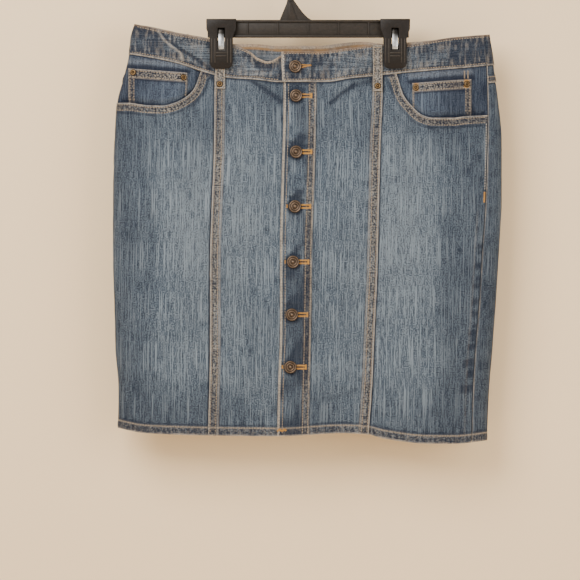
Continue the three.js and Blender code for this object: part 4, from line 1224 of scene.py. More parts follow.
@dataclass
class FrontSide(CutPiece):
    """A front side panel, whose upper edge is the turned-under pocket mouth."""

    felled: Across = None
    plain: Across = None
    sign: float = 1.0
    mouth: Trace = None
    deep_top: float = 0.5

    def relief(self, turn: Array, z: Array) -> Array:
        """Returns how far the face stands out from the tube.

        Args:
            turn: the turns of the points.
            z: their heights.

        Returns:
            Millimetres outwards from the tube.
        """
        x = FORM.across(turn, z)
        away = self.mouth.away(x, z)
        near = (z > -240) & (away < 60)
        band = 0.55 * (1 - ease(10.6, 12.2, away)) + 0.3 * ridge(away, 0.8, 1.2)
        band += -0.4 * ridge(away, 2.6, 0.9) - 0.4 * ridge(away, 9.6, 0.9)
        band += FORM.pucker(np.maximum(away - 10, 0), x + z, 0.5, 7, 11) * ease(9, 12, away)
        ropes = 0.25 * FORM.along((x - z * self.sign) / 8, away / 6) * (1 - ease(9, 11, away))
        seam = beside_band(np.maximum(self.sign * beside(self.felled, turn, z), 0), z)
        side = np.maximum(-self.sign * beside(self.plain, turn, z), 0)
        plain = -0.6 * (1 - ease(0, 2.0, side)) + self.side_pucker(side, z)
        cloth = FORM.drape(turn, z) + PLEAT_LINES.relief(turn, z) + FORM.hem_relief(turn, z)
        return cloth + np.where(near, band + ropes, 0) + seam + plain

    def side_pucker(self, away: Array, z: Array) -> Array:
        """Returns the drawn-up puckers beside the plain side seam."""
        if self.sign < 0:
            return FORM.pucker(away, z + 20, 0.35, 8, 10)
        return (0.22 * FORM.along(z / 8, 6)) * np.exp(-away / 6) - 0.3 * side_blots(away, z)

    def spots(self, turn: Array, z: Array) -> dict[str, Array]:
        """Returns this piece's own rubbed, shaded and rusty places, from 0 to 1.

        Args:
            turn: the turns of the points.
            z: their heights.

        Returns:
            Shares from 0 to 1 by the effect's name.
        """
        x = FORM.across(turn, z)
        away = self.mouth.away(x, z)
        rim = (1 - ease(1.0, 2.2, away)) * (0.8 + 0.4 * FORM.along(x / 9, 3))
        seam = np.maximum(self.sign * beside(self.felled, turn, z), 0)
        # Painted shadows: beside the felled band that laps over this panel, just below the pocket mouth's
        # band, and under the waistband's foot.
        dark = 1.1 * (1 - ease(0.6, 2.6, seam)) + 0.35 * ridge(away, 12.8, 1.6) * (z > -240)
        dark = dark + 1.3 * (1 - ease(1.4, 4.2, FORM.seam_height(turn) - z))
        plain = np.maximum(-self.sign * beside(self.plain, turn, z), 0)
        right = self.sign > 0
        side_line = 0.2 * ridge(plain, 11.5, 1.0) * ease(-330, -350, z) if right else 0
        dark = dark + (1.2 * side_blots(plain, z) if right else 0) + 0.7 * (1 - ease(0.4, 1.9, plain))
        inside = ease(1.4, 2.4, away) * (1 - ease(9.2, 10.8, away)) * (z > -240)
        own = {"wear_and_painted_light": rim * 1.1 + side_line, "shade": dark}
        return summed(own, banded(inside, x - z * 0.7 * self.sign, away, 1.0), hem_tones(turn, z))


@dataclass
class Placket(CutPiece):
    """The doubled strip down the front that carries the buttonholes."""

    def relief(self, turn: Array, z: Array) -> Array:
        """Returns how far the face stands out from the tube.

        Args:
            turn: the turns of the points.
            z: their heights.

        Returns:
            Millimetres outwards from the tube.
        """
        from_left = beside(self.left, turn, z)
        from_right = -beside(self.right, turn, z)
        x = FORM.across(turn, z)
        out = PLACKET_OUT + 0.55 * FORM.drape(turn, z)
        out += -0.4 * ridge(from_left, 2.4, 0.9) - 0.4 * ridge(from_left, 6.6, 0.8)
        out += -0.4 * ridge(from_right, 1.8, 0.8) - 0.4 * ridge(from_right, 8.4, 0.9)
        for (bx, bz), deep in zip(BUTTONS[1:], (0.3, 0.8, 0.9, 0.3, 0.8, 0.3)):
            skew = z - bz - 10.5 + 0.22 * (x - bx)
            span = ridge(x, bx + 2, 14)
            out += (-deep * ridge(skew, 0, 2.6) + 0.75 * deep * ridge(skew, 6.5, 4.0)) * span
            out += -0.9 * ridge(np.hypot(x - bx, z - bz), 0, 9.5)
            slit = ridge(z, bz, 1.1) * ease(bx + 6, bx + 8, x) * (1 - ease(bx + 18, bx + 20, x))
            out += -0.9 * slit
        out += 0.3 * FORM.along(z / 9, x / 14) * (1 - ease(7, 10, from_right))
        out += FORM.hem_relief(turn, z) * 0.7
        return out

    def spots(self, turn: Array, z: Array) -> dict[str, Array]:
        """Returns this piece's own rubbed, shaded and rusty places, from 0 to 1.

        Args:
            turn: the turns of the points.
            z: their heights.

        Returns:
            Shares from 0 to 1 by the effect's name.
        """
        from_left = beside(self.left, turn, z)
        from_right = -beside(self.right, turn, z)
        x = FORM.across(turn, z)
        rim = (1 - ease(1.6, 3.2, from_left)) * (0.95 + 0.4 * FORM.along(z / 10, 1))
        rim += 0.9 * (1 - ease(0.6, 1.8, from_right)) * (0.75 + 0.5 * FORM.along(z / 9, 4))
        shade = 0.35 * (0.4 + FORM.small(x / 12, z / 26))
        shade = shade + 0.5 * ease(-395, -425, z) * ease(-585, -560, z) * ease(7, 9, from_left)
        shade = shade + 0.5 * ridge(from_left, 4.4, 0.8)
        # Painted shadow under the waistband's foot.
        shade = shade + 0.95 * (1 - ease(0.3, 6.0, FORM.seam_height(turn) - z))
        for (bx, bz), dark in zip(BUTTONS[1:], (0.3, 1.1, 1.2, 0.6, 1.2, 0.8)):
            away = np.hypot(x - bx, z - bz)
            # Painted shadow round each button.
            shade = shade + 0.7 * ridge(away, BUTTON_RADIUS + 1, 2.2)
            patch = ridge(x, bx + 4.5, 7) * ridge(z - 0.5 * (x - bx), bz + 13, 6.5)
            shade = shade + dark * patch
            # Painted shade in the buttonhole's slit.
            span = ease(bx + 9, bx + 10, x) * (1 - ease(bx + 18, bx + 19, x))
            shade = shade + 1.2 * ridge(z, bz, 0.9) * span
        inside = ease(1.4, 2.4, from_right) * (1 - ease(9.4, 11, from_right))
        own = {"wear_and_painted_light": rim, "shade": shade, "band": 0.75 * (1 - ease(2.5, 4.5, from_left))}
        return summed(own, banded(inside, z, from_right, 0.75), hem_tones(turn, z))


@dataclass
class BackPiece(CutPiece):
    """A back yoke or panel; the raised edges carry the felled seams."""

    raised_centre: bool = False
    raised_foot: bool = False

    def relief(self, turn: Array, z: Array) -> Array:
        """Returns how far the face stands out from the tube.

        Args:
            turn: the turns of the points.
            z: their heights.

        Returns:
            Millimetres outwards from the tube.
        """
        centre = math.pi - turn
        rate = FORM.half(z)
        away = centre * rate
        out = FORM.drape(turn, z) + FORM.hem_relief(turn, z)
        if self.raised_centre:
            out = out + fell_band(away, z)
        else:
            out = out + beside_band(np.maximum(-away, 0), z) * (away < 0)
        above = z - FORM.yoke_height(turn)
        if self.raised_foot:
            out = out + np.where(above > 0, fell_band(above * 12.5 / 10, turn * 240) - 0, 0)
        else:
            out = out + beside_band(np.maximum(-above, 0), turn * 240) * (1 - ease(-30, -60, above) * 1.0)
        seam = beside(FORM.seam_turn("side_right"), turn, z)
        near = np.exp(-np.maximum(seam, 0) / 7) * (seam < 60)
        return out + 0.22 * FORM.along(z / 8, 7) * near - 0.6 * (1 - ease(0, 1.2, np.abs(seam)))

    def spots(self, turn: Array, z: Array) -> dict[str, Array]:
        """Returns this piece's own rubbed, shaded and rusty places, from 0 to 1.

        Args:
            turn: the turns of the points.
            z: their heights.

        Returns:
            Shares from 0 to 1 by the effect's name.
        """
        away = (math.pi - turn) * FORM.half(z)
        above = z - FORM.yoke_height(turn)
        # Painted shadow under the waistband's foot.
        own = {"wear_and_painted_light": np.zeros_like(z), "shade": 0.9 * (1 - ease(0.3, 2.6, FORM.seam_height(turn) - z))}
        tones = [own]
        if self.raised_centre:
            inside = ease(1.6, 2.6, away) * (1 - ease(FELL_WIDTH - 2, FELL_WIDTH, away))
            tones += [{"wear_and_painted_light": 1 - ease(1.2, 2.2, away)}, banded(inside, z, away, 0.8)]
        else:
            # Painted shadow beside the centre band that laps over this piece.
            own["shade"] = own["shade"] + (1 - ease(0.6, 2.6, np.abs(away)))
        if self.raised_foot:
            inside = ease(1.2, 2.0, above) * (1 - ease(8, 10, above))
            tones += [{"wear_and_painted_light": 1 - ease(0.9, 1.8, above)}, banded(inside, turn * 240, above, 0.8)]
        else:
            # Painted shadow beside the yoke's band that laps over this piece.
            own["shade"] = own["shade"] + (1 - ease(0.6, 2.6, np.abs(above)))
            tones.append(hem_tones(turn, z))
        seam = beside(FORM.seam_turn("side_right"), turn, z)
        worn = 0.75 + 0.35 * FORM.along(z / 11, 3) - 0.25 * ease(-300, -340, z)
        own["wear_and_painted_light"] = own["wear_and_painted_light"] + worn * (1 - ease(0.9, 1.9, seam)) * (seam < 40)
        own["shade"] = own["shade"] + 0.12 * np.clip(FORM.along(z / 13, 8), 0, 1) * (seam < 40)
        return summed(*tones)


@dataclass
class Waistband(CutPiece):
    """A length of waistband: doubled cloth with sewing along both edges."""

    stepped: bool = False
    creased: bool = False

    def relief(self, turn: Array, z: Array) -> Array:
        """Returns how far the face stands out from the tube.

        Args:
            turn: the turns of the points.
            z: their heights.

        Returns:
            Millimetres outwards from the tube.
        """
        x = FORM.across(turn, z)
        low = z - FORM.seam_height(turn)
        high = self.top(turn) - z
        out = BAND_OUT + 0.5 * FORM.drape(turn, z)
        if self.stepped:
            out = out + LAP_STEP * (1 - ease(1, 7, x))
        out += -0.4 * ridge(low, 3.0, 0.9) - 0.4 * ridge(high, 3.0, 0.9) - 0.3 * ridge(high, 7.2, 0.9)
        near = 1 - ease(18, 30, np.abs(np.abs(x) - JAW_CENTRE))
        free = 1 - 0.85 * near
        out += 0.35 * FORM.along(x / 8, low / 12) * free
        out += 0.5 * FORM.broad(x / 22 + 4, low / 22) * free
        ticks = FORM.along(x / 2.9, low / 20 + 5) * (ridge(high, 7, 6) + ridge(low, 6, 6)) * free
        out += 0.38 * ticks + PLEAT_LINES.relief(turn, z)
        if self.creased:
            roll = ridge(x, -57, 16) * (1 - ease(1.5, 8, high))
            out += 2.4 * roll - 1.9 * ridge(x, -60, 20) * ridge(high, 11, 4)
        return out

    def spots(self, turn: Array, z: Array) -> dict[str, Array]:
        """Returns this piece's own rubbed, shaded and rusty places, from 0 to 1.

        Args:
            turn: the turns of the points.
            z: their heights.

        Returns:
            Shares from 0 to 1 by the effect's name.
        """
        x = FORM.across(turn, z)
        low = z - FORM.seam_height(turn)
        high = self.top(turn) - z
        front = np.cos(turn) > 0
        wear_and_painted_light = (1 - ease(0.5, 1.8, low)) * (0.95 + 0.4 * FORM.along(x / 8, 2))
        wear_and_painted_light += 0.45 * (1 - ease(0.2, 2.4, high)) * (0.6 + 0.6 * FORM.along(x / 11, 1))
        ticks = np.clip(1.8 * FORM.along(x / 1.7, low / 9 + 5), -1, 1)
        near = 0.35 + 0.65 * (ridge(high, 7, 7) + ridge(low, 6, 7))
        blotch = 0.45 * FORM.small(x / 5.5, low / 8) + 0.75 * FORM.broad(x / 22 + 8, low / 17)
        shade = 0.16 + near * np.clip(ticks, 0, 1) * 0.62
        shade = shade + 0.6 * np.clip(blotch, 0, 1) + 0.6 * ridge(low, 3.4, 1.0)
        # Painted shade on the left end of the front band, under its top edge.
        shade = shade + 0.8 * np.where(front, ease(-205, -222, x) * ridge(high, 9, 6), 0)
        wear_and_painted_light += near * np.clip(-ticks - 0.1, 0, 1) * 0.36
        rust = np.where(front, 0.35 * (1 - ease(0.9, 3.4, high)), 0.45 + 0.55 * ease(3.2, 4.2, high))
        rust = rust * (1 - ease(6.8, 7.8, high)) * (0.9 + 0.4 * FORM.along(x / 6, 3))
        wear_and_painted_light = wear_and_painted_light + np.where(front, 0, 1.0 - ease(3.4, 4.6, high))
        span = ease(-34, -20, x) * ease(105, 70, x)
        rust = rust + np.where(front, 0.25, 0) * span * (1 - ease(1, 3.6, high))
        shade = shade + 0.6 * ridge(x, 235, 8)
        if self.stepped:
            edge = x + 34.5
            wear_and_painted_light = wear_and_painted_light + 1.1 * (1 - ease(2.0, 3.4, edge))
            away = np.hypot(x - BUTTONS[0][0], z - BUTTONS[0][1])
            # Painted shadow round the top button.
            shade = shade + 0.7 * ridge(away, BUTTON_RADIUS + 1, 2.2) + 0.5 * ridge(edge, 4.6, 1.0)
        else:
            # Painted shadow on the left band beside the edge of the right band that laps over it.
            shade = shade + 1.0 * ridge(x, -37.5, 2.2) * front
        if self.creased:
            wear_and_painted_light = wear_and_painted_light + 1.1 * (1 - ease(1.4, 3.2, high)) * ridge(x, -57, 24)
            # Painted shadow under the rolled fold of the top edge; the fold's top above is worn light.
            shade = shade + 1.1 * ridge(high, 6.0, 2.6) * ridge(x, -58, 18)
        return {"wear_and_painted_light": wear_and_painted_light, "rust": rust, "shade": shade, "band": 0.3 * near}


@dataclass
class PocketFacing(CutPiece):
    """The cloth that shows above a pocket mouth, tucked in behind it."""

    sign: float = -1.0
    mouth: CutLine = None

    def depth(self, turn: Array, z: Array) -> Array:
        """Returns how far the facing goes in behind the mouth."""
        x = FORM.across(turn, z)
        seam = -251.0 if self.sign < 0 else FORM.across_lines["side_right"](z)
        above = z - self.mouth(x)
        before = (x - (-147 if self.sign < 0 else 119)) * self.sign
        tucked = 1 - ease(0, 1, np.minimum(above / 9, before / 7))
        depth = -1.9 + (-3.6 + 1.9) * ease(5, 11, before)
        return depth * tucked * ease(1, 6, np.abs(x - seam)) - 0.2

    def relief(self, turn: Array, z: Array) -> Array:
        """Returns how far the face stands out from the tube."""
        return self.depth(turn, z) + 0.4 * FORM.drape(turn, z)

    def spots(self, turn: Array, z: Array) -> dict[str, Array]:
        """Returns this piece's painted shadows and painted highlight, from 0 to 1: shadow under the pocket
        mouth, under the waistband's foot and in the dip above the coin pocket's band, a highlight where the
        facing puffs out, and a faint unevenness.
        """
        x = FORM.across(turn, z)
        above = z - self.mouth(x)
        top = COIN_TOPS[int(self.sign)](x)
        span = ease(-246, -236, x) * (1 - ease(-160, -152, x)) if self.sign < 0 else (
            ease(128, 136, x) * (1 - ease(214, 222, x)))
        # Painted shadow under the pocket mouth's band and under the waistband's foot, and in the dip just
        # above the coin pocket's band.
        shade = 1.0 * (1 - ease(-1, 3, above)) + 0.9 * (1 - ease(0.3, 2.6, FORM.seam_height(turn) - z))
        shade = shade + 1.3 * ridge(z - top, 2.0, 3.2) * span
        shade = shade + 0.45 * np.clip(FORM.small(x / 7, z / 30), 0, 1)
        # Painted highlight where the facing puffs out above the coin pocket: lighter through the fade share,
        # less painted shade, and a little of the worn colour.
        puff_highlight = ridge(z - top, 10.0, 4.2) * span
        return {"shade": shade - 0.5 * puff_highlight, "wear_and_painted_light": 0.08 * puff_highlight, "fade": 0.9 * puff_highlight}


@dataclass
class CoinPocket(PocketFacing):
    """A small patch pocket that lies on a facing, with a turned band along its top."""

    def relief(self, turn: Array, z: Array) -> Array:
        """Returns how far the face stands out from the tube."""
        drop = self.top(turn) - z
        out = self.depth(turn, z) + 0.4 * FORM.drape(turn, z) + 1.65
        out += 0.4 * (1 - ease(COIN_BAND - 0.6, COIN_BAND + 0.8, drop))
        out += -0.35 * ridge(drop, 2.4, 0.9) - 0.35 * ridge(drop, COIN_BAND - 1.6, 0.9)
        return out + 0.25 * FORM.along(FORM.across(turn, z) / 8, drop / 8)

    def spots(self, turn: Array, z: Array) -> dict[str, Array]:
        """Returns this piece's own rubbed, shaded and rusty places, from 0 to 1.

        Args:
            turn: the turns of the points.
            z: their heights.

        Returns:
            Shares from 0 to 1 by the effect's name.
        """
        drop = self.top(turn) - z
        above = z - self.mouth(FORM.across(turn, z))
        x = FORM.across(turn, z)
        ends = (-237, -160) if self.sign < 0 else (137.5, 215)
        side = np.minimum(x - ends[0], ends[1] - x)
        wear_and_painted_light = (1 - ease(0.6, 2.0, drop)) * 0.85 + 0.6 * (1 - ease(0.4, 1.5, side))
        wear_and_painted_light = wear_and_painted_light + 0.4 * ridge(drop, COIN_BAND - 0.4, 0.9)
        double = (1 - ease(7, 8.5, x - ends[0])) if self.sign < 0 else (1 - ease(7, 8.5, ends[1] - x))
        band = np.maximum(1 - ease(COIN_BAND - 1, COIN_BAND + 0.5, drop), 0.8 * double)
        # Painted shadow under the pocket mouth's band and just below the coin pocket's own band.
        shade = 0.9 * (1 - ease(-1, 3, above)) + 0.8 * ridge(drop, COIN_BAND + 1.4, 1.3)
        own = {"wear_and_painted_light": wear_and_painted_light, "shade": shade}
        return summed(own, banded(band * ease(0.8, 2, drop), x + 0.6 * z, drop, 1.0))


@dataclass
class BeltLoop(CutPiece):
    """A narrow folded strip with a row of sewing along each edge."""

    base: float = 3.7
    lift: float = 1.2

    def relief(self, turn: Array, z: Array) -> Array:
        """Returns how far the face stands out from the tube."""
        high, low = self.top(turn), self.bottom(turn)
        share = np.clip((z - low) / (high - low), 0, 1)
        left = beside(self.left, turn, z)
        right = -beside(self.right, turn, z)
        out = self.base + self.lift * np.sin(math.pi * share)
        out = out - 0.3 * ridge(left, 2.2, 0.8) - 0.3 * ridge(right, 2.2, 0.8)
        out += 0.25 * FORM.along(z / 6, left / 5) + 0.22 * ridge(left, LOOP_WIDTH / 2, 2.4)
        return out

    def spots(self, turn: Array, z: Array) -> dict[str, Array]:
        """Returns this piece's own rubbed, shaded and rusty places, from 0 to 1."""
        left = beside(self.left, turn, z)
        right = -beside(self.right, turn, z)
        rim = 1 - ease(0.3, 1.4, np.minimum(left, right))
        ends = 1 - ease(0.5, 2, np.minimum(self.top(turn) - z, z - self.bottom(turn)))
        own = {"wear_and_painted_light": rim + 0.8 * ends + 0.25 * ridge(left, LOOP_WIDTH / 2, 3)}
        return summed(own, banded(1 - ease(0, 0.1, -left), z, left, 1.0))


@dataclass
class Sewing:
    """All the visible sewing: separate stitches sunk in their grooves, one mesh to a thread and side."""

    pitch: float = STITCH_PITCH
    long: float = STITCH_LONG
    radius: float = STITCH_RADIUS
    runs: dict[tuple[str, Thread], list[Array]] = field(default_factory=dict)

    def run(self, group: str, thread: Thread, piece: CutPiece, path: tuple[Array, Array]) -> None:
        """Sews a row of stitches along a path on a piece."""
        size = (self.long, self.radius * 2, self.radius * 1.5)
        self._lay(group, thread, piece, path, self.pitch, size, False)

    def bar(
        self, group: str, thread: Thread, piece: CutPiece, path: tuple[Array, Array], wide: float,
    ) -> None:
        """Sews close stitches crosswise along a path, as for a bartack or a buttonhole."""
        self._lay(group, thread, piece, path, 0.78, (wide, 0.85, 0.85), True)

    def _lay(
        self, group: str, thread: Thread, piece: CutPiece, path: tuple[Array, Array],
        pitch: float, size: tuple[float, float, float], crosswise: bool,
    ) -> None:
        """Places the stitches.

        Args:
            group: the assembly that the sewing belongs to.
            thread: the thread used.
            piece: the piece whose face it lies on.
            path: turns and heights along the row.
            pitch: distance between stitches.
            size: a stitch's length, width and height.
            crosswise: whether the stitches lie across the row.
        """
        turn, z = path
        points = piece.point(turn, z, 0.12)
        step = np.linalg.norm(np.diff(points, axis=0), axis=1)
        at = np.concatenate([[0], np.cumsum(step)])
        count = max(1, int(at[-1] / pitch))
        centre = (np.arange(count) + 0.5) * at[-1] / count

        def read(s: Array) -> Array:
            """Returns the points at lengths along the row."""
            return np.stack([np.interp(s, at, points[:, k]) for k in range(3)], axis=-1)

        along = read(centre + size[0] / 2) - read(centre - size[0] / 2)
        along /= np.maximum(np.linalg.norm(along, axis=1, keepdims=True), 1e-9)
        up = FORM.outward(np.interp(centre, at, turn), np.interp(centre, at, z))
        side = np.cross(up, along)
        side /= np.maximum(np.linalg.norm(side, axis=1, keepdims=True), 1e-9)
        if crosswise:
            along, side = side, along
        up = np.cross(along, side)
        rng = np.random.default_rng(len(self.runs) * 31 + count)
        jitter = rng.uniform(-0.09, 0.09, (count, 1))
        along = along + side * jitter
        scale = 1 + rng.uniform(-0.1, 0.08, (count, 1))
        frame_rows = np.stack(
            [along * size[0] / 2 * scale, side * size[1] / 2, up * size[2] / 2, read(centre)], axis=1)
        self.runs.setdefault((group, thread), []).append(frame_rows)

    def build(self, wardrobe: Wardrobe) -> list[bpy.types.Object]:
        """Makes one object for each group and thread.

        Args:
            wardrobe: the finishes.

        Returns:
            The objects.
        """
        bm = bmesh.new()
        bmesh.ops.create_uvsphere(bm, u_segments=6, v_segments=4, radius=1.0)
        bmesh.ops.rotate(bm, verts=bm.verts, matrix=Matrix.Rotation(math.pi / 2, 3, "Y"))
        ball = np.array([v.co for v in bm.verts])
        ball[:, 0] = np.sign(ball[:, 0]) * np.abs(ball[:, 0]) ** 0.75
        faces = [[v.index for v in f.verts] for f in bm.faces]
        bm.free()
        made = []
        for (group, thread), rows in self.runs.items():
            frames = np.concatenate(rows)
            points = np.einsum("vk,nkc->nvc", ball, frames[:, :3]) + frames[:, 3][:, None]
            count = len(ball)
            tiled = [[k * count + i for i in face] for k in range(len(frames)) for face in faces]
            name = f"sewing_{group}_{thread.name.lower()}"
            mesh = bpy.data.meshes.new(name)
            mesh.from_pydata(points.reshape(-1, 3) * MM, [], tiled)
            mesh.shade_smooth()
            mesh.materials.append(wardrobe.threads[thread])
            obj = bpy.data.objects.new(name, mesh)
            bpy.context.scene.collection.objects.link(obj)
            made.append(obj)
        return made


def down(line: Across, top: float, bottom: float) -> tuple[Array, Array]:
    """Returns a path down a seam line between two heights."""
    z = np.arange(top, bottom, -1.0)
    return line(z), z


def over_front(
    line: Callable[[Array], Array], x0: float, x1: float, drop: float = 0.0,
) -> tuple[Array, Array]:
    """Returns a path across the front along an edge line, moved down by a drop."""
    x = np.arange(x0, x1, 1.0)
    z = line(x) - drop
    return FORM.turn_of(x, z), z


def round_back(height: Across, start: float, end: float, drop: float = 0.0) -> tuple[Array, Array]:
    """Returns a path round the back between two turns, moved down by a drop."""
    turn = np.arange(start, end, 0.004)
    return turn, height(turn) - drop


def hem_path(start: float, end: float, up: float) -> tuple[Array, Array]:
    """Returns a path above the hem's edge between two turns."""
    turn = np.arange(start, end, 0.003)
    return turn, FORM.hem_height(turn) + up


@dataclass
class FrontPanels:
    """The four front panels and the placket, with their felled seams, mouths and hem."""

    seam_gap: float = SEAM_HALF
    under: float = 1.2
    sewing: Sewing = None
    pieces: dict[str, CutPiece] = field(default_factory=dict)

    def cut(self) -> None:
        """Cuts the pieces."""
        seam = FORM.seam_turn
        below = lambda turn: FORM.seam_height(turn) - 0.55
        left_princess, right_princess = seam("princess_left"), seam("princess_right")
        lap_left = seam("placket_left")
        lap_right = FORM.moved(seam("placket_right"), 4)
        rows = spread(472, 2.6, (0, 17, 1.1), (462, 472, 1.6))
        self.pieces["front_center_left"] = FrontCentre(
            "front_center_left", FORM.moved(left_princess, 0.3), FORM.moved(lap_left, 6), FORM.hem_height,
            below, spread(96, 2.6, (0, 15, 1.05)), rows, hemmed=True, outer=left_princess, sign=1.0)
        self.pieces["front_center_right"] = FrontCentre(
            "front_center_right", FORM.moved(lap_right, -6), FORM.moved(right_princess, -0.3),
            FORM.hem_height, below, spread(94, 2.6, (79, 94, 1.05)), rows, hemmed=True,
            outer=right_princess, sign=-1.0)
        self.pieces["placket"] = Placket(
            "placket", lap_left, lap_right, FORM.hem_height, below, spread(44, 1.1),
            spread(472, 1.5, (0, 17, 1.1)), thick=1.8, worn=1.15)
        mouth_rows = spread(430, 2.6, (0, 17, 1.1), (414, 430, 1.1))
        self.side(
            "front_side_left", FORM.moved(FORM.side_left, 0.6), FORM.moved(left_princess, self.under),
            left_princess, FORM.side_left, FORM.mouth_left, (-256, -137.5), -1.0, mouth_rows,
            spread(142, 2.6, (96, 142, 1.1)))
        self.side(
            "front_side_right", FORM.moved(right_princess, -self.under),
            FORM.moved(seam("side_right"), -0.25),
            right_princess, seam("side_right"), FORM.mouth_right, (115, 238), 1.0, mouth_rows,
            spread(142, 2.6, (0, 36, 1.1)))

    def side(
        self, name: str, left: Across, right: Across, felled: Across, plain: Across, mouth: CutLine,
        ends: tuple[float, float], sign: float, rows: Array, columns: Array,
    ) -> None:
        """Cuts a side panel.

        Args:
            name: the piece's name.
            left: its left seam line.
            right: its right seam line.
            felled: the princess seam it meets.
            plain: the side seam it meets.
            mouth: its pocket mouth.
            ends: where the mouth begins and ends across.
            sign: 1 on the right, -1 on the left.
            rows: shares up the piece.
            columns: shares across it.
        """
        def top(turn: Array) -> Array:
            """Returns the height of the panel's upper edge."""
            return np.minimum(FORM.seam_height(turn) - 0.55, FORM.height(mouth, turn, -190))

        self.pieces[name] = FrontSide(
            name, left, right, FORM.hem_height, top, columns, rows, hemmed=True,
            felled=felled, plain=plain, sign=sign, mouth=Trace.along(mouth, *ends))

    def sew(self) -> None:
        """Sews the felled seams, the mouths, the placket and the hem."""
        s, p, seam = self.sewing, self.pieces, FORM.seam_turn
        for name, line, sign in (
            ("front_center_left", seam("princess_left"), 1),
            ("front_center_right", seam("princess_right"), -1),
        ):
            for off in (2.6, 9.8):
                s.run("front", Thread.TAN, p[name], down(FORM.moved(line, sign * off), -166, -630))
        for name, sign in (("front_side_left", -1), ("front_side_right", 1)):
            trace = p[name].mouth
            for off in (2.6, 9.6):
                turn, z = trace.moved(off).path()
                x = FORM.across(turn, z)
                keep = (x > -252) & (x < -126) if sign < 0 else (x > 100) & (x < 234)
                keep &= z < FORM.seam(x) - 2
                s.run("front", Thread.TAN, p[name], (turn[keep], z[keep]))
        lap = p["placket"]
        for off, thread in ((2.4, Thread.CREAM), (6.6, Thread.TAN)):
            s.run("front", thread, lap, down(FORM.moved(lap.left, off), -170, -632))
        for off in (-1.8, -8.4):
            s.run("front", Thread.TAN, lap, down(FORM.moved(lap.right, off), -170, -632))
        x0, x1 = -250, 232
        turns = FORM.turn_of(np.array([x0, -132, -42, 2, 84, x1]), np.array([-620.0] * 6))
        for (start, end), name in zip(
            zip(turns[:-1], turns[1:]),
            ("front_side_left", "front_center_left", "placket", "front_center_right", "front_side_right"),
        ):
            s.run("front", Thread.TAN, p[name], hem_path(start + 0.004, end - 0.004, HEM_HEIGHT - 1.6))
        foot = np.linspace(-41, -29, 12)
        z = -626.5 + 1.2 * np.cos(foot)
        s.bar("front", Thread.GOLD, lap, (FORM.turn_of(foot, z), z), 3.4)
        side = p["front_side_right"]
        s.bar("front", Thread.GOLD, side, down(FORM.moved(seam("side_right"), -2.2), -312.5, -327), 2.6)
        s.run("front", Thread.CREAM, side, down(FORM.moved(seam("side_right"), -2.0), -222, -311))
        left = p["front_side_left"]
        s.run("front", Thread.TAN, left, down(FORM.moved(FORM.side_left, 3), -205, -310))

    def buttonholes(self) -> None:
        """Sews the corded edge round each buttonhole, and the thread that shows at its inner end."""
        lap = self.pieces["placket"]
        for x, z in BUTTONS[1:]:
            angle = np.linspace(0, 2 * math.pi, 60)
            ring_x = x + 13.6 + np.sign(np.cos(angle)) * 4.6 + 2.1 * np.cos(angle)
            ring_z = z + 2.0 * np.sin(angle)
            self.sewing.bar("front", Thread.GOLD, lap, (FORM.turn_of(ring_x, ring_z), ring_z), 2.7)
            end = np.arange(z + 3.6, z - 3.6, -0.5)
            turn = FORM.turn_of(np.full(end.shape, x + 20.4), end)
            self.sewing.bar("front", Thread.GOLD, lap, (turn, end), 2.2)
        for index in (3, 4, 6):
            x, z = BUTTONS[index]
            end = np.arange(z + 2.4, z - 2.4, -0.5)
            turn = FORM.turn_of(np.full(end.shape, x - 10.4), end)
            self.sewing.bar("front", Thread.GOLD, lap, (turn, end), 2.6)


@dataclass
class BackPanels:
    """The back: a yoke and a panel each side of a felled centre seam."""

    sewing: Sewing = None
    pieces: dict[str, CutPiece] = field(default_factory=dict)

    def cut(self) -> None:
        """Cuts the pieces."""
        below = lambda turn: FORM.seam_height(turn) - 0.55
        yoke = FORM.yoke_height
        right_start = FORM.moved(FORM.seam_turn("side_right"), 0.25)
        centre = lambda z: np.full(np.shape(z), math.pi)
        left_end = lambda z: FORM.side_left(z) + 2 * math.pi - 0.0025
        rows = spread(440, 3.6, (0, 17, 1.3), (430, 440, 1.8))
        wide_right = spread(262, 3.4, (0, 24, 1.8), (246, 262, 1.3))
        wide_left = spread(240, 3.4, (0, 14, 1.6))
        for side, start, end, columns, raised in (
            ("right", right_start, FORM.moved(centre, -0.3), wide_right, True),
            ("left", FORM.moved(centre, -1.2), left_end, wide_left, False),
        ):
            self.pieces[f"back_yoke_{side}"] = BackPiece(
                f"back_yoke_{side}", start, end, lambda turn: yoke(turn) + 0.2, below, columns,
                spread(36, 1.5), raised_centre=raised, raised_foot=True)
            self.pieces[f"back_panel_{side}"] = BackPiece(
                f"back_panel_{side}", start, end, FORM.hem_height, lambda turn: yoke(turn) + 1.2, columns,
                rows,
                hemmed=True, raised_centre=raised)

    def sew(self) -> None:
        """Sews the yoke seams, the centre seam and the hem."""
        s, p = self.sewing, self.pieces
        start = float(FORM.seam_turn("side_right")(np.array(-170.0))) + 0.012
        spans = {"right": (start, math.pi - 0.01), "left": (math.pi + 0.01, math.radians(269))}
        for side, (a, b) in spans.items():
            for off in (2.1, 7.9):
                s.run("back", Thread.TAN, p[f"back_yoke_{side}"], round_back(FORM.yoke_height, a, b, -off))
            hem_a = float(FORM.seam_turn("side_right")(np.array(-620.0))) + 0.012 if side == "right" else a
            hem_b = b if side == "right" else math.radians(253)
            s.run("back", Thread.TAN, p[f"back_panel_{side}"], hem_path(hem_a, hem_b, HEM_HEIGHT - 1.6))
        for off in (2.6, 9.8):
            line = lambda z, off=off: math.pi - off / FORM.half(z)
            s.run("back", Thread.TAN, p["back_yoke_right"], down(line, -171, -204))
            s.run("back", Thread.TAN, p["back_panel_right"], down(line, -208, -628))


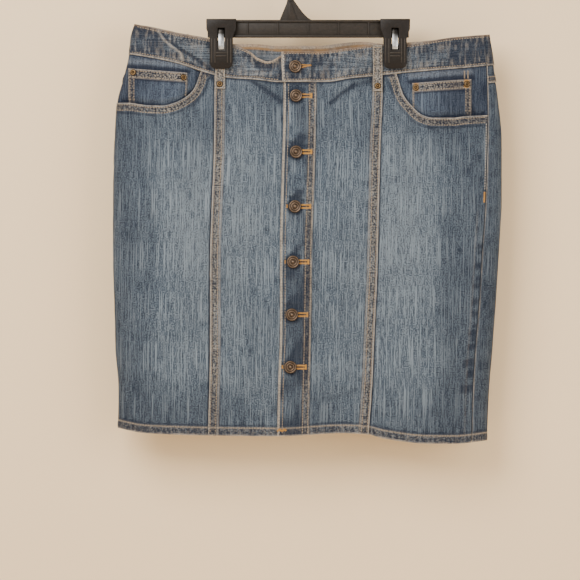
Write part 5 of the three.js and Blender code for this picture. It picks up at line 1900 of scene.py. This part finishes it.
@dataclass
class WaistbandPieces:
    """The waistband: a left and a right front that lap under the first button, and the back."""

    sewing: Sewing = None
    pieces: dict[str, CutPiece] = field(default_factory=dict)

    def cut(self) -> None:
        """Cuts the pieces."""
        foot = lambda turn: FORM.seam_height(turn) - 0.3
        at = lambda x: (lambda z: FORM.turn_of(np.full(np.shape(z), float(x)), z))
        top_left = lambda turn: FORM.height(FORM.top_left, turn, -115)
        top_right = lambda turn: FORM.height(FORM.top_right, turn, -115)

        def top_back(turn: Array) -> Array:
            """Returns the height of the back band's top, higher between the clips."""
            across = FORM.height(FORM.top_back, turn, -110)
            across = across + 5.5 * ease(0.9, 0.97, -np.cos(turn))
            front = np.where(np.sin(turn) > 0, top_right(turn), top_left(turn))
            return across + (front - across) * ease(-0.12, 0.12, np.cos(turn))

        rows = spread(34, 1.15)
        self.pieces["waistband_front_left"] = Waistband(
            "waistband_front_left", FORM.moved(FORM.side_left, 0.6), at(2), foot, top_left,
            spread(250, 1.2), rows, thick=BAND_THICK, grain=Grain.LEVEL, creased=True)
        self.pieces["waistband_front_right"] = Waistband(
            "waistband_front_right", at(-34.5), FORM.moved(FORM.seam_turn("side_right"), -0.22), foot,
            top_right, spread(276, 1.2), rows, thick=BAND_THICK, grain=Grain.LEVEL, stepped=True)
        centre = lambda z: np.full(np.shape(z), math.pi)
        left_end = lambda z: FORM.side_left(z) + 2 * math.pi - 0.0025
        for side, start, end in (
            ("right", FORM.moved(FORM.seam_turn("side_right"), 0.22), FORM.moved(centre, -0.2)),
            ("left", FORM.moved(centre, 0.2), left_end),
        ):
            self.pieces[f"waistband_back_{side}"] = Waistband(
                f"waistband_back_{side}", start, end, foot, top_back, spread(252, 1.8), rows,
                thick=BAND_THICK, grain=Grain.LEVEL)

    def sew(self) -> None:
        """Sews along both edges of the bands."""
        s, p = self.sewing, self.pieces
        seam = FORM.seam
        left, right = p["waistband_front_left"], p["waistband_front_right"]
        s.run("waistband", Thread.TAN, left, over_front(seam, -233, -38, -3.0))
        s.run("waistband", Thread.TAN, left, over_front(FORM.top_left, -226, -38, 3.0))
        s.run("waistband", Thread.TAN, right, over_front(seam, -32, 238, -3.0))
        s.run("waistband", Thread.TAN, right, over_front(FORM.top_right, -32, 234, 3.0))
        z = np.arange(-132, -163, -1.0)
        s.run("waistband", Thread.CREAM, right, (FORM.turn_of(np.full(z.shape, -31.8), z), z))
        x, z = BUTTONS[0]
        hole = np.linspace(0, 1, 30)
        for rise, wide in ((1.6, 1.8), (-1.9, 2.4)):
            path_z = z + 0.6 + rise * (1 - hole) + 1.2 * hole
            turn = FORM.turn_of(x + 7.5 + 13.5 * hole, path_z)
            s.bar("waistband", Thread.GOLD, right, (turn, path_z), wide)
        for side, start, end in (("right", 88, 179.6), ("left", 180.4, 269)):
            back = p[f"waistband_back_{side}"]
            turns = math.radians(start), math.radians(end)
            s.run("waistband", Thread.TAN, back, round_back(FORM.seam_height, *turns, -3.0))
            s.run("waistband", Thread.TAN, back, round_back(back.top, *turns, 3.0))


@dataclass
class Pockets:
    """The facings behind the mouths and the two coin pockets on them."""

    sewing: Sewing = None
    pieces: dict[str, CutPiece] = field(default_factory=dict)

    def cut(self) -> None:
        """Cuts the pieces."""
        at = lambda x: (lambda z: FORM.turn_of(np.full(np.shape(z), float(x)), z))
        below = lambda turn: FORM.seam_height(turn) - 0.55
        for side, sign, mouth, left, right, xs in (
            ("left", -1.0, FORM.mouth_left, FORM.moved(FORM.side_left, 1.2), at(-139.6), (-237, -160)),
            ("right", 1.0, FORM.mouth_right, at(115), FORM.moved(FORM.seam_turn("side_right"), -0.25),
             (137.5, 215)),
        ):
            edge = lambda turn, mouth=mouth: np.minimum(below(turn), FORM.height(mouth, turn, -190))
            self.pieces[f"pocket_facing_{side}"] = PocketFacing(
                f"pocket_facing_{side}", left, right, lambda turn, edge=edge: edge(turn) - 14, below,
                spread(116, 1.8), spread(80, 1.6), dark=True, worn=0.1, sign=sign, mouth=mouth)
            top = COIN_TOPS[int(sign)]
            self.pieces[f"coin_pocket_{side}"] = CoinPocket(
                f"coin_pocket_{side}", at(xs[0]), at(xs[1]), lambda turn, edge=edge: edge(turn) - 7,
                lambda turn, top=top: FORM.height(top, turn, -160), spread(78, 1.4), spread(55, 1.15),
                thick=1.2, dark=True, worn=0.3, sign=sign, mouth=mouth)

    def sew(self) -> None:
        """Sews the bands and sides of the coin pockets."""
        s, p = self.sewing, self.pieces
        for side, sign in (("left", -1), ("right", 1)):
            piece = p[f"coin_pocket_{side}"]
            x0, x1 = (-236, -161) if sign < 0 else (138.5, 214)
            for drop in (2.4, COIN_BAND - 1.6):
                x = np.arange(x0, x1, 1.0)
                z = np.full(x.shape, -160.0)
                for _ in range(3):
                    z = piece.top(FORM.turn_of(x, z)) - drop
                s.run("pockets", Thread.TAN, piece, (FORM.turn_of(x, z), z))
            edges = ((x0 + 1.2, 1), (x0 + 6.4, 1), (x1 - 1.0, 1)) if sign < 0 else (
                (x0 + 1.0, 1), (x1 - 6.2, 1), (x1 - 1.0, 1))
            for x, _ in edges:
                z = np.arange(-152 if sign < 0 else -168, -193 if sign < 0 else -208, -1.0)
                turn = FORM.turn_of(np.full(z.shape, x), z)
                keep = (z < piece.top(turn) - 1) & (z > piece.mouth(np.full(z.shape, x)) + 1)
                if keep.sum() > 4:
                    s.run("pockets", Thread.TAN, piece, (turn[keep], z[keep]))
        for x, z in ((142.5, -174.4), (209.2, -170.2)):
            patch = np.arange(z + 5.4, z - 5.4, -0.5)
            turn = FORM.turn_of(np.full(patch.shape, x), patch)
            s.bar("pockets", Thread.GOLD, p["coin_pocket_right"], (turn, patch), 8.6)
        for x in (206.2, 210.8):
            rise = np.arange(-152.5, -163.5, -0.5)
            turn = FORM.turn_of(np.full(rise.shape, x), rise)
            s.bar("pockets", Thread.TAN, p["pocket_facing_right"], (turn, rise), 2.0)


@dataclass
class BeltLoops:
    """Two loops in front and three behind, each with two rows of sewing."""

    half: float = LOOP_WIDTH / 2
    sewing: Sewing = None
    pieces: dict[str, CutPiece] = field(default_factory=dict)

    def cut(self) -> None:
        """Cuts the pieces."""
        rows = (
            ("front_left", 1, -116.3, -113.5, -176.5, 3.7, 0.0),
            ("front_right", 1, 91.5, -118.5, -180, 3.7, 1.2),
            ("back_left", -1, -165, -103, -155, 2.9, 1.2),
            ("back_center", -1, 0, -125, -180, 2.9, 1.2),
            ("back_right", -1, 165, -112.5, -164, 2.9, 1.2),
        )
        for name, side, x, top, bottom, base, lift in rows:
            def middle(z: Array, x: float = x, side: int = side, name: str = name) -> Array:
                """Returns the turns of the loop's middle line."""
                turn = FORM.turn_of(np.full(np.shape(z), float(x)), z)
                if name == "back_center":
                    return np.full(np.shape(z), math.pi)
                return turn if side > 0 else math.pi - turn
            self.pieces[f"belt_loop_{name}"] = BeltLoop(
                f"belt_loop_{name}", FORM.moved(middle, -self.half), FORM.moved(middle, self.half),
                lambda turn, z=bottom: np.full(np.shape(turn), float(z)),
                lambda turn, z=top: np.full(np.shape(turn), float(z)),
                spread(13, 0.8), spread(60, 1.2), thick=1.4, base=base, lift=lift, worn=1.2)

    def sew(self) -> None:
        """Sews along both edges and across both ends of each loop."""
        for piece in self.pieces.values():
            top, bottom = float(piece.top(np.array(0.0))), float(piece.bottom(np.array(0.0)))
            for line, off in ((piece.left, 2.2), (piece.right, -2.2)):
                self.sewing.run("loops", Thread.TAN, piece, down(FORM.moved(line, off), top - 1, bottom + 1))
            for z in (top - 3.2, bottom + 3.2):
                if piece.lift == 0 and z < -150:
                    continue
                share = np.linspace(0.12, 0.88, 12)
                height = np.full(12, z)
                turn = piece.left(height) + (piece.right(height) - piece.left(height)) * share
                self.sewing.bar("loops", Thread.TAN, piece, (turn, height), 1.6)


def turned(name: str, outline: Sequence[tuple[float, float]], steps: int) -> bmesh.types.BMesh:
    """Spins an outline of radius and height, in millimetres, into a closed round form.

    Args:
        name: a name for error messages.
        outline: the points from the centre of the top round to the centre of the foot.
        steps: the faces round it.

    Returns:
        The bmesh, in metres, with its axis along Z.
    """
    bm = bmesh.new()
    verts = [bm.verts.new((r * MM, 0, h * MM)) for r, h in outline]
    edges = [bm.edges.new(pair) for pair in zip(verts[:-1], verts[1:])]
    bmesh.ops.spin(
        bm, geom=verts + edges, cent=(0, 0, 0), axis=(0, 0, 1), angle=2 * math.pi, steps=steps,
        use_merge=True)
    bmesh.ops.remove_doubles(bm, verts=bm.verts, dist=1e-6)
    bmesh.ops.recalc_face_normals(bm, faces=bm.faces)
    if not bm.faces:
        raise ValueError(f"{name} has no faces")
    return bm


def settle(
    bm: bmesh.types.BMesh, name: str, material: bpy.types.Material, sharp: float = 40,
) -> bpy.types.Object:
    """Turns a finished bmesh into a smooth-shaded object with sharp corners kept.

    Args:
        bm: the bmesh; it is freed.
        name: the object's name.
        material: its material.
        sharp: the angle beyond which an edge stays sharp, in degrees.

    Returns:
        The object.
    """
    mesh = bpy.data.meshes.new(name)
    bm.to_mesh(mesh)
    bm.free()
    mesh.shade_smooth()
    mesh.set_sharp_from_angle(angle=math.radians(sharp))
    mesh.materials.append(material)
    obj = bpy.data.objects.new(name, mesh)
    bpy.context.scene.collection.objects.link(obj)
    return obj


def paint(bm: bmesh.types.BMesh, rule: Callable[[Vector], float]) -> None:
    """Writes the share of the bright colour at each point of a bmesh: wear on buttons and rivets, an even
    tint on the bar, a painted highlight on the jaws' ribs, and bright steel below the springs' painted
    shadow.
    """
    layer = bm.verts.layers.float.new("wear_and_painted_light")
    for vert in bm.verts:
        vert[layer] = min(1.0, max(0.0, rule(vert.co)))


def seat(bm: bmesh.types.BMesh, x: float, z: float, out: float) -> None:
    """Moves a turned form on to the front, its axis along the cloth's normal."""
    turn = FORM.turn_of(np.array(float(x)), np.array(float(z)))
    point = FORM.place(turn, np.array(float(z)), np.array(out)) * MM
    normal = Vector(FORM.outward(turn, np.array(float(z))))
    spin = normal.to_track_quat("Z", "Y").to_matrix().to_4x4()
    bm.transform(Matrix.Translation(Vector(point)) @ spin)


@dataclass
class Fasteners:
    """The buttons down the front and the rivets at the pocket and loop ends."""

    radius: float = BUTTON_RADIUS
    rivet_radius: float = RIVET_RADIUS
    wardrobe: Wardrobe = None

    BUTTON = (
        (0, 3.75), (0.9, 3.7), (1.5, 3.35), (1.9, 2.75), (2.9, 2.45), (3.5, 2.6), (3.9, 3.05), (4.4, 3.25),
        (4.9, 3.05), (5.3, 2.6), (6.0, 2.55), (6.5, 2.9), (7.1, 3.15), (7.8, 2.95), (8.3, 2.3), (8.5, 1.5),
        (8.3, 0.6), (7.7, 0.1), (2.6, 0.1), (2.4, -1.9), (0, -1.9),
    )
    RIVET = (
        (0, 2.1), (0.55, 2.0), (0.95, 1.55), (1.2, 1.15), (1.7, 1.15), (2.1, 1.55), (2.7, 1.75), (3.3, 1.6),
        (3.9, 1.1), (4.3, 0.5), (4.4, 0.0), (0, 0.0),
    )

    def button(self, index: int) -> bpy.types.Object:
        """Makes a button.

        Args:
            index: its place from the top, from 0.

        Returns:
            The object.
        """
        x, z = BUTTONS[index]
        bm = turned("button", self.BUTTON, 40)
        paint(bm, lambda co: 1.15 * max(
            0.75 * math.exp(-(((co.xy.length / MM - 7.2) / 0.5) ** 2)),
            math.exp(-(((co.xy.length / MM - 4.4) / 0.4) ** 2)),
            math.exp(-((co.xy.length / MM / 1.5) ** 4))) * (co.z > 2 * MM) + 0.08)
        spin = Matrix.Rotation(index * 0.9, 4, "Z")
        bm.transform(spin)
        cover = BAND_OUT + LAP_STEP if index == 0 else PLACKET_OUT
        seat(bm, x, z, cover + (0.6 if index == 0 else 0.3))
        return settle(bm, f"button_{index + 1}", self.wardrobe.button, 60)

    def rivet(self, name: str, x: float, z: float, out: float) -> bpy.types.Object:
        """Makes a rivet.

        Args:
            name: its name.
            x: its place across.
            z: its height.
            out: how far its foot stands out from the tube.

        Returns:
            The object.
        """
        bm = turned("rivet", self.RIVET, 28)
        paint(bm, lambda co: 1.1 * max(
            math.exp(-(((co.xy.length / MM - 2.8) / 0.6) ** 2)),
            math.exp(-((co.xy.length / MM / 0.9) ** 4))))
        seat(bm, x, z, out)
        return settle(bm, name, self.wardrobe.rivet, 60)


def plate(outline: Sequence[tuple[float, float]], front: float, back: float, edge: float,
          hole: Sequence[tuple[float, float]] = ()) -> bmesh.types.BMesh:
    """Makes a flat shape of a given depth with rounded edges.

    Args:
        outline: its corners across and up, in millimetres.
        front: the depth of its front face.
        back: the depth of its back face.
        edge: the radius of its rounded edges.
        hole: the corners of an opening through it.

    Returns:
        The bmesh, in metres.
    """
    bm = bmesh.new()
    for ring in (outline, hole):
        verts = [bm.verts.new((x * MM, front * MM, z * MM)) for x, z in ring]
        for pair in zip(verts, verts[1:] + verts[:1]):
            bm.edges.new(pair)
    if hole:
        bmesh.ops.triangle_fill(bm, edges=bm.edges[:], use_beauty=True, use_dissolve=False)
    else:
        bm.faces.new(bm.verts[:])
    grown = bmesh.ops.extrude_face_region(bm, geom=bm.faces[:])
    moved = [item for item in grown["geom"] if isinstance(item, bmesh.types.BMVert)]
    bmesh.ops.translate(bm, verts=moved, vec=(0, (back - front) * MM, 0))
    bmesh.ops.recalc_face_normals(bm, faces=bm.faces)
    corners = [e for e in bm.edges if len(e.link_faces) == 2 and e.calc_face_angle(0) > math.radians(35)]
    bmesh.ops.bevel(
        bm, geom=corners, offset=edge * MM, segments=2, profile=0.5, affect="EDGES", material=-1,
        clamp_overlap=True)
    return bm


def box(x0: float, x1: float, z0: float, z1: float) -> list[tuple[float, float]]:
    """Returns the corners of a rectangle."""
    return [(x0, z0), (x1, z0), (x1, z1), (x0, z1)]


def joined(parts: Iterable[bmesh.types.BMesh]) -> bmesh.types.BMesh:
    """Puts several bmeshes into one."""
    whole = bmesh.new()
    for part in parts:
        mesh = bpy.data.meshes.new("part")
        part.to_mesh(mesh)
        part.free()
        whole.from_mesh(mesh)
        bpy.data.meshes.remove(mesh)
    return whole


@dataclass
class ClipHanger:
    """A moulded hanger: a bar with a swelling and a hook, two jaws at each end and their springs."""

    bar_end: float = 133
    bar_top: float = -85
    bar_bottom: float = -108.4
    hook_radius: float = 23.5
    hook_thick: float = 3.5
    inner: float = 6.5
    outer: float = 10.3
    wardrobe: Wardrobe = None

    def frame(self) -> bpy.types.Object:
        """Returns the bar, its flanges, the swelling under the hook, and the hook.

        Returns:
            The finished bar with its hook.
        """
        end, top, bottom = self.bar_end, self.bar_top, self.bar_bottom
        parts = [
            plate(box(-end, end, bottom + 1, top - 1), -1.6, 1.6, 0.3),
            plate(box(-end, end, top - 3.4, top), -4, 4, 0.8),
            plate(box(-end, end, bottom, bottom + 3.4), -4, 4, 0.8),
            plate([
                (-38, -86), (-28.5, -63), (-27.2, -56), (-19.8, -56), (-18.5, -59.5), (-13, -67.5),
                (-6.5, -76), (-0.5, -82), (6, -86)], -1.8, 1.8, 0.5),
            plate([(-27, -86), (-26, -62), (-22, -62), (-14, -86)], -3.4, 3.4, 0.8),
            self.hook(),
        ]
        for x in range(-80, 81, 40):
            parts.append(plate(box(x - 0.9, x + 0.9, bottom + 2, top - 2), -3.2, 3.2, 0.3))
        whole = joined(parts)
        paint(whole, lambda co: 0.25)
        return settle(whole, "hanger_frame", self.wardrobe.plastic, 50)

    def hook(self) -> bmesh.types.BMesh:
        """Returns the round bar of the hook, with a rounded end.

        Returns:
            The hook's mesh.
        """
        bm = bmesh.new()
        ring = bmesh.ops.create_circle(bm, cap_ends=True, radius=self.hook_thick * MM, segments=16)["verts"]
        bmesh.ops.translate(bm, verts=ring, vec=(-self.hook_radius * MM, 0, -60 * MM))
        face = bm.faces[:]
        rise = bmesh.ops.extrude_face_region(bm, geom=face)
        verts = [item for item in rise["geom"] if isinstance(item, bmesh.types.BMVert)]
        bmesh.ops.translate(bm, verts=verts, vec=(0, 0, 40 * MM))
        cap = [item for item in rise["geom"] if isinstance(item, bmesh.types.BMFace)]
        spun = bmesh.ops.spin(
            bm, geom=cap, cent=(0, 0, -20 * MM), axis=(0, 1, 0), angle=math.radians(215), steps=40)
        tip = [item for item in spun["geom_last"] if isinstance(item, bmesh.types.BMFace)]
        dead = [f for f in cap if f.is_valid]
        bmesh.ops.delete(bm, geom=dead, context="FACES_ONLY")
        normal = tip[0].normal.copy()
        centre = tip[0].calc_center_median()
        for size, along in ((0.86, 1.4), (0.5, 1.3)):
            grown = bmesh.ops.extrude_face_region(bm, geom=tip)
            bmesh.ops.delete(bm, geom=tip, context="FACES_ONLY")
            tip = [item for item in grown["geom"] if isinstance(item, bmesh.types.BMFace)]
            rim = list({v for f in tip for v in f.verts})
            away = normal if (centre - Vector((0, 0, -20 * MM))).cross(normal).y != 0 else -normal
            bmesh.ops.translate(bm, verts=rim, vec=away * along * MM)
            middle = sum((v.co for v in rim), Vector()) / len(rim)
            bmesh.ops.scale(
                bm, verts=rim, vec=(size, size, size), space=Matrix.Translation(-middle))
        bmesh.ops.remove_doubles(bm, verts=bm.verts, dist=1e-6)
        bmesh.ops.recalc_face_normals(bm, faces=bm.faces)
        return bm

    def outline(self, centre: float) -> list[tuple[float, float]]:
        """Returns the corners of a jaw: a wide head and a narrower mouth."""
        half = (
            (19.8, -84), (19.6, -97.5), (17.5, -102.5), (15.2, -108.6), (15.2, -143), (13.2, -147.5),
            (9, -149.5))
        right = [(centre + x, z) for x, z in half]
        left = [(centre - x, z) for x, z in reversed(half)]
        return right + left

    def jaw(self, name: str, centre: float, facing: float, pad: float) -> bpy.types.Object:
        """Makes a jaw with its window, ribs and steps.

        Args:
            name: the object's name.
            centre: its middle across.
            facing: -1 in front, 1 behind.
            pad: how far its pad stands in.

        Returns:
            The object.
        """
        inner, outer = facing * self.inner, facing * self.outer
        window = box(centre - 4.8, centre + 4.8, -125.3, -96)
        parts = [plate(self.outline(centre), inner, outer, 0.8, window)]
        rib_out = outer + facing * 0.9
        for offset in (-12.6, -8.2, 8.2, 12.6):
            parts.append(plate(
                box(centre + offset - 0.8, centre + offset + 0.8, -142, -110), outer - facing, rib_out, 0.4))
        for z in (-129, -133):
            parts.append(plate(box(centre - 7, centre + 7, z - 0.8, z + 0.8), outer - facing, rib_out, 0.4))
        if pad > 0:
            parts.append(plate(
                box(centre - 13, centre + 13, -146, -136), inner + facing, inner - facing * pad, 0.5))
        whole = joined(parts)
        # Painted highlight: the ribs' outer faces get most of the plastic's bright colour, and the rest of
        # the jaw stays near black.
        paint(whole, lambda co: 0.55 if abs(co.y) > (self.outer + 0.6) * MM else 0.03)
        return settle(whole, name, self.wardrobe.plastic, 50)

    def spring(self, name: str, centre: float) -> bpy.types.Object:
        """Makes a spring: a bent strip of steel over the bar.

        Args:
            name: the object's name.
            centre: its middle across.

        Returns:
            The object.
        """
        half = (
            (0, -84), (-4.2, -84.1), (-4.95, -84.9), (-4.95, -97.5), (-7.6, -103), (-8.2, -118),
            (-7.2, -124.3))
        line = [(-y, z) for y, z in reversed(half[1:])] + list(half)
        bm = bmesh.new()
        verts = [bm.verts.new(((centre - 3.6) * MM, y * MM, z * MM)) for y, z in line]
        edges = [bm.edges.new(pair) for pair in zip(verts[:-1], verts[1:])]
        grown = bmesh.ops.extrude_edge_only(bm, edges=edges)
        moved = [item for item in grown["geom"] if isinstance(item, bmesh.types.BMVert)]
        bmesh.ops.translate(bm, verts=moved, vec=(7.2 * MM, 0, 0))
        bmesh.ops.recalc_face_normals(bm, faces=bm.faces)
        bmesh.ops.solidify(bm, geom=bm.faces[:], thickness=0.6 * MM)
        corners = [e for e in bm.edges if len(e.link_faces) == 2 and e.calc_face_angle(0) > math.radians(60)]
        bmesh.ops.bevel(
            bm, geom=corners, offset=0.12 * MM, segments=2, profile=0.5, affect="EDGES", material=-1,
            clamp_overlap=True)
        # Painted shadow: above a height of -106 mm the spring keeps the dark colour, standing for the shade
        # under the jaw's head; below that it is bright steel.
        paint(bm, lambda co: 1.0 if co.z < -106 * MM else 0.0)
        return settle(bm, name, self.wardrobe.spring, 40)


@dataclass
class Studio:
    """The pale wall behind, the floor, the lights and the camera."""

    view_x: float = -0.024
    view_z: float = -0.442
    away: float = 6.0
    lens: float = 281.7

    def backdrop(self) -> None:
        """Builds the wall and the floor."""
        for name, place, tilt, size, colour in (
            ("studio_wall", (0, 0.055, -0.1), math.pi / 2, 6.0, (0.98, 0.735, 0.455)),
            ("studio_floor", (0, 0, -1.3), 0.0, 8.0, (0.78, 0.68, 0.54)),
        ):
            bm = bmesh.new()
            bmesh.ops.create_grid(bm, x_segments=8, y_segments=8, size=size / 2)
            bm.transform(Matrix.Translation(place) @ Matrix.Rotation(tilt, 4, "X"))
            obj = settle(bm, name, self.wall_paint(name, colour, name == "studio_wall"))

    def wall_paint(
        self, name: str, colour: tuple[float, float, float], one_sided: bool,
    ) -> bpy.types.Material:
        """Makes a plain paint with a faint unevenness.

        Args:
            name: the material's name.
            colour: the paint's colour.
            one_sided: whether it is clear from behind.

        Returns:
            The material.
        """
        material = bpy.data.materials.new(name)
        material.use_nodes = True
        s = Shader(material.node_tree)
        place = s.add("ShaderNodeTexCoord").outputs["Object"]
        patch = s.noise(s.scaled(place, 2.2, 2.2, 2.2), 3.0, 0.5)
        base = s.mix(s.remap(patch, 0.3, 0.7, 0, 0.25), (*colour, 1), tuple(c * 0.94 for c in colour) + (1,))
        paint_shader = s.add("ShaderNodeBsdfDiffuse", in_0=base)
        last = paint_shader.outputs[0]
        if one_sided:
            clear = s.add("ShaderNodeBsdfTransparent").outputs[0]
            behind = s.add("ShaderNodeNewGeometry").outputs["Backfacing"]
            side = s.math("MAXIMUM", behind, s.add("ShaderNodeLightPath").outputs["Is Shadow Ray"])
            last = s.add("ShaderNodeMixShader", in_0=side, in_1=last, in_2=clear).outputs[0]
        s.feed(s.add("ShaderNodeOutputMaterial").inputs[0], last)
        return material

    def light(self, name: str, place: tuple, aim: tuple, size: float, power: float) -> None:
        """Adds a soft lamp that points at a place."""
        lamp = bpy.data.lights.new(name, "AREA")
        lamp.shape = "SQUARE"
        lamp.size = size
        lamp.energy = power
        obj = bpy.data.objects.new(name, lamp)
        bpy.context.scene.collection.objects.link(obj)
        obj.location = place
        obj.rotation_euler = (Vector(aim) - Vector(place)).to_track_quat("-Z", "Y").to_euler()

    def build(self) -> None:
        """Sets up the wall, the floor, the lights and the camera.
        """
        self.backdrop()
        self.light("soft_key", (-1.0, -1.7, 0.8), (0, 0, -0.35), 1.5, 62)
        self.light("soft_fill", (1.5, -1.6, -0.1), (0, 0, -0.35), 1.6, 26)
        self.light("back_fill", (-0.6, 2.4, 0.6), (0, 0, -0.35), 1.8, 90)
        world = bpy.data.worlds.new("pale_room")
        world.use_nodes = True
        world.node_tree.nodes["Background"].inputs[0].default_value = (1.0, 0.97, 0.93, 1)
        world.node_tree.nodes["Background"].inputs[1].default_value = 0.6
        bpy.context.scene.world = world
        camera = bpy.data.cameras.new("camera")
        camera.lens = self.lens
        camera.sensor_width = 36
        obj = bpy.data.objects.new("camera", camera)
        bpy.context.scene.collection.objects.link(obj)
        obj.location = (self.view_x, -self.away, self.view_z)
        obj.rotation_euler = (math.pi / 2, 0, 0)
        bpy.context.scene.camera = obj


RIVETS = (
    ("rivet_coin_left_outer", -230.5, -155, 1.85), ("rivet_coin_left_inner", -165, -161.5, 1.85),
    ("rivet_coin_right_inner", 142.5, -175, 1.85), ("rivet_coin_right_outer", 209.5, -170.5, 1.85),
    ("rivet_loop_left", -116.8, -170.5, 3.7), ("rivet_loop_right", 91.8, -173, 4.0),
)


# What each slot's pieces are made of, used in their names.
MADE_AS = {
    "denim": "cloth", "dark_denim": "cloth", "antique_button": "metal", "copper_rivet": "metal",
    "hanger_plastic": "moulded", "spring_steel": "steel",
}


def report(obj: bpy.types.Object, node: str | None, slot: str) -> None:
    """Lets a piece ride the garment's body, names it and what it replaces, and logs it."""
    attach(obj, "root")
    if node:
        obj.name = f"{node}_{MADE_AS[slot]}"
        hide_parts(node)
    LOG.info("%s: %d faces", obj.name, len(obj.data.polygons))


def main() -> None:
    """Builds the garment and its hanger in order, and reports each piece."""
    logging.basicConfig(level=logging.INFO, format="%(message)s")
    wardrobe = Wardrobe()
    sewing = Sewing()
    assemblies = (
        FrontPanels(sewing=sewing), BackPanels(sewing=sewing), WaistbandPieces(sewing=sewing),
        Pockets(sewing=sewing), BeltLoops(sewing=sewing),
    )
    for assembly in assemblies:
        assembly.cut()
        for name, piece in assembly.pieces.items():
            obj = piece.build(wardrobe)
            report(obj, name, "dark_denim" if piece.dark else "denim")
        assembly.sew()
    assemblies[0].buttonholes()
    for obj in sewing.build(wardrobe):
        report(obj, None, "denim")
    fasteners = Fasteners(wardrobe=wardrobe)
    for index in range(len(BUTTONS)):
        report(fasteners.button(index), f"button_{index + 1}", "antique_button")
    for name, x, z, out in RIVETS:
        report(fasteners.rivet(name, x, z, out), name, "copper_rivet")
    hanger = ClipHanger(wardrobe=wardrobe)
    report(hanger.frame(), "hanger_frame", "hanger_plastic")
    pad = 6.5 - PINCHED - BAND_OUT - 0.3
    for side, centre in (("left", -JAW_CENTRE), ("right", JAW_CENTRE)):
        front_pad = 0 if side == "left" else pad
        jaw = hanger.jaw(f"clip_{side}_front", centre, -1, front_pad)
        report(jaw, f"clip_{side}_front", "hanger_plastic")
        report(hanger.jaw(f"clip_{side}_back", centre, 1, pad), f"clip_{side}_back", "hanger_plastic")
        report(hanger.spring(f"spring_{side}", centre), f"spring_{side}", "spring_steel")
    Studio().build()




if __name__ == "__main__":
    main()
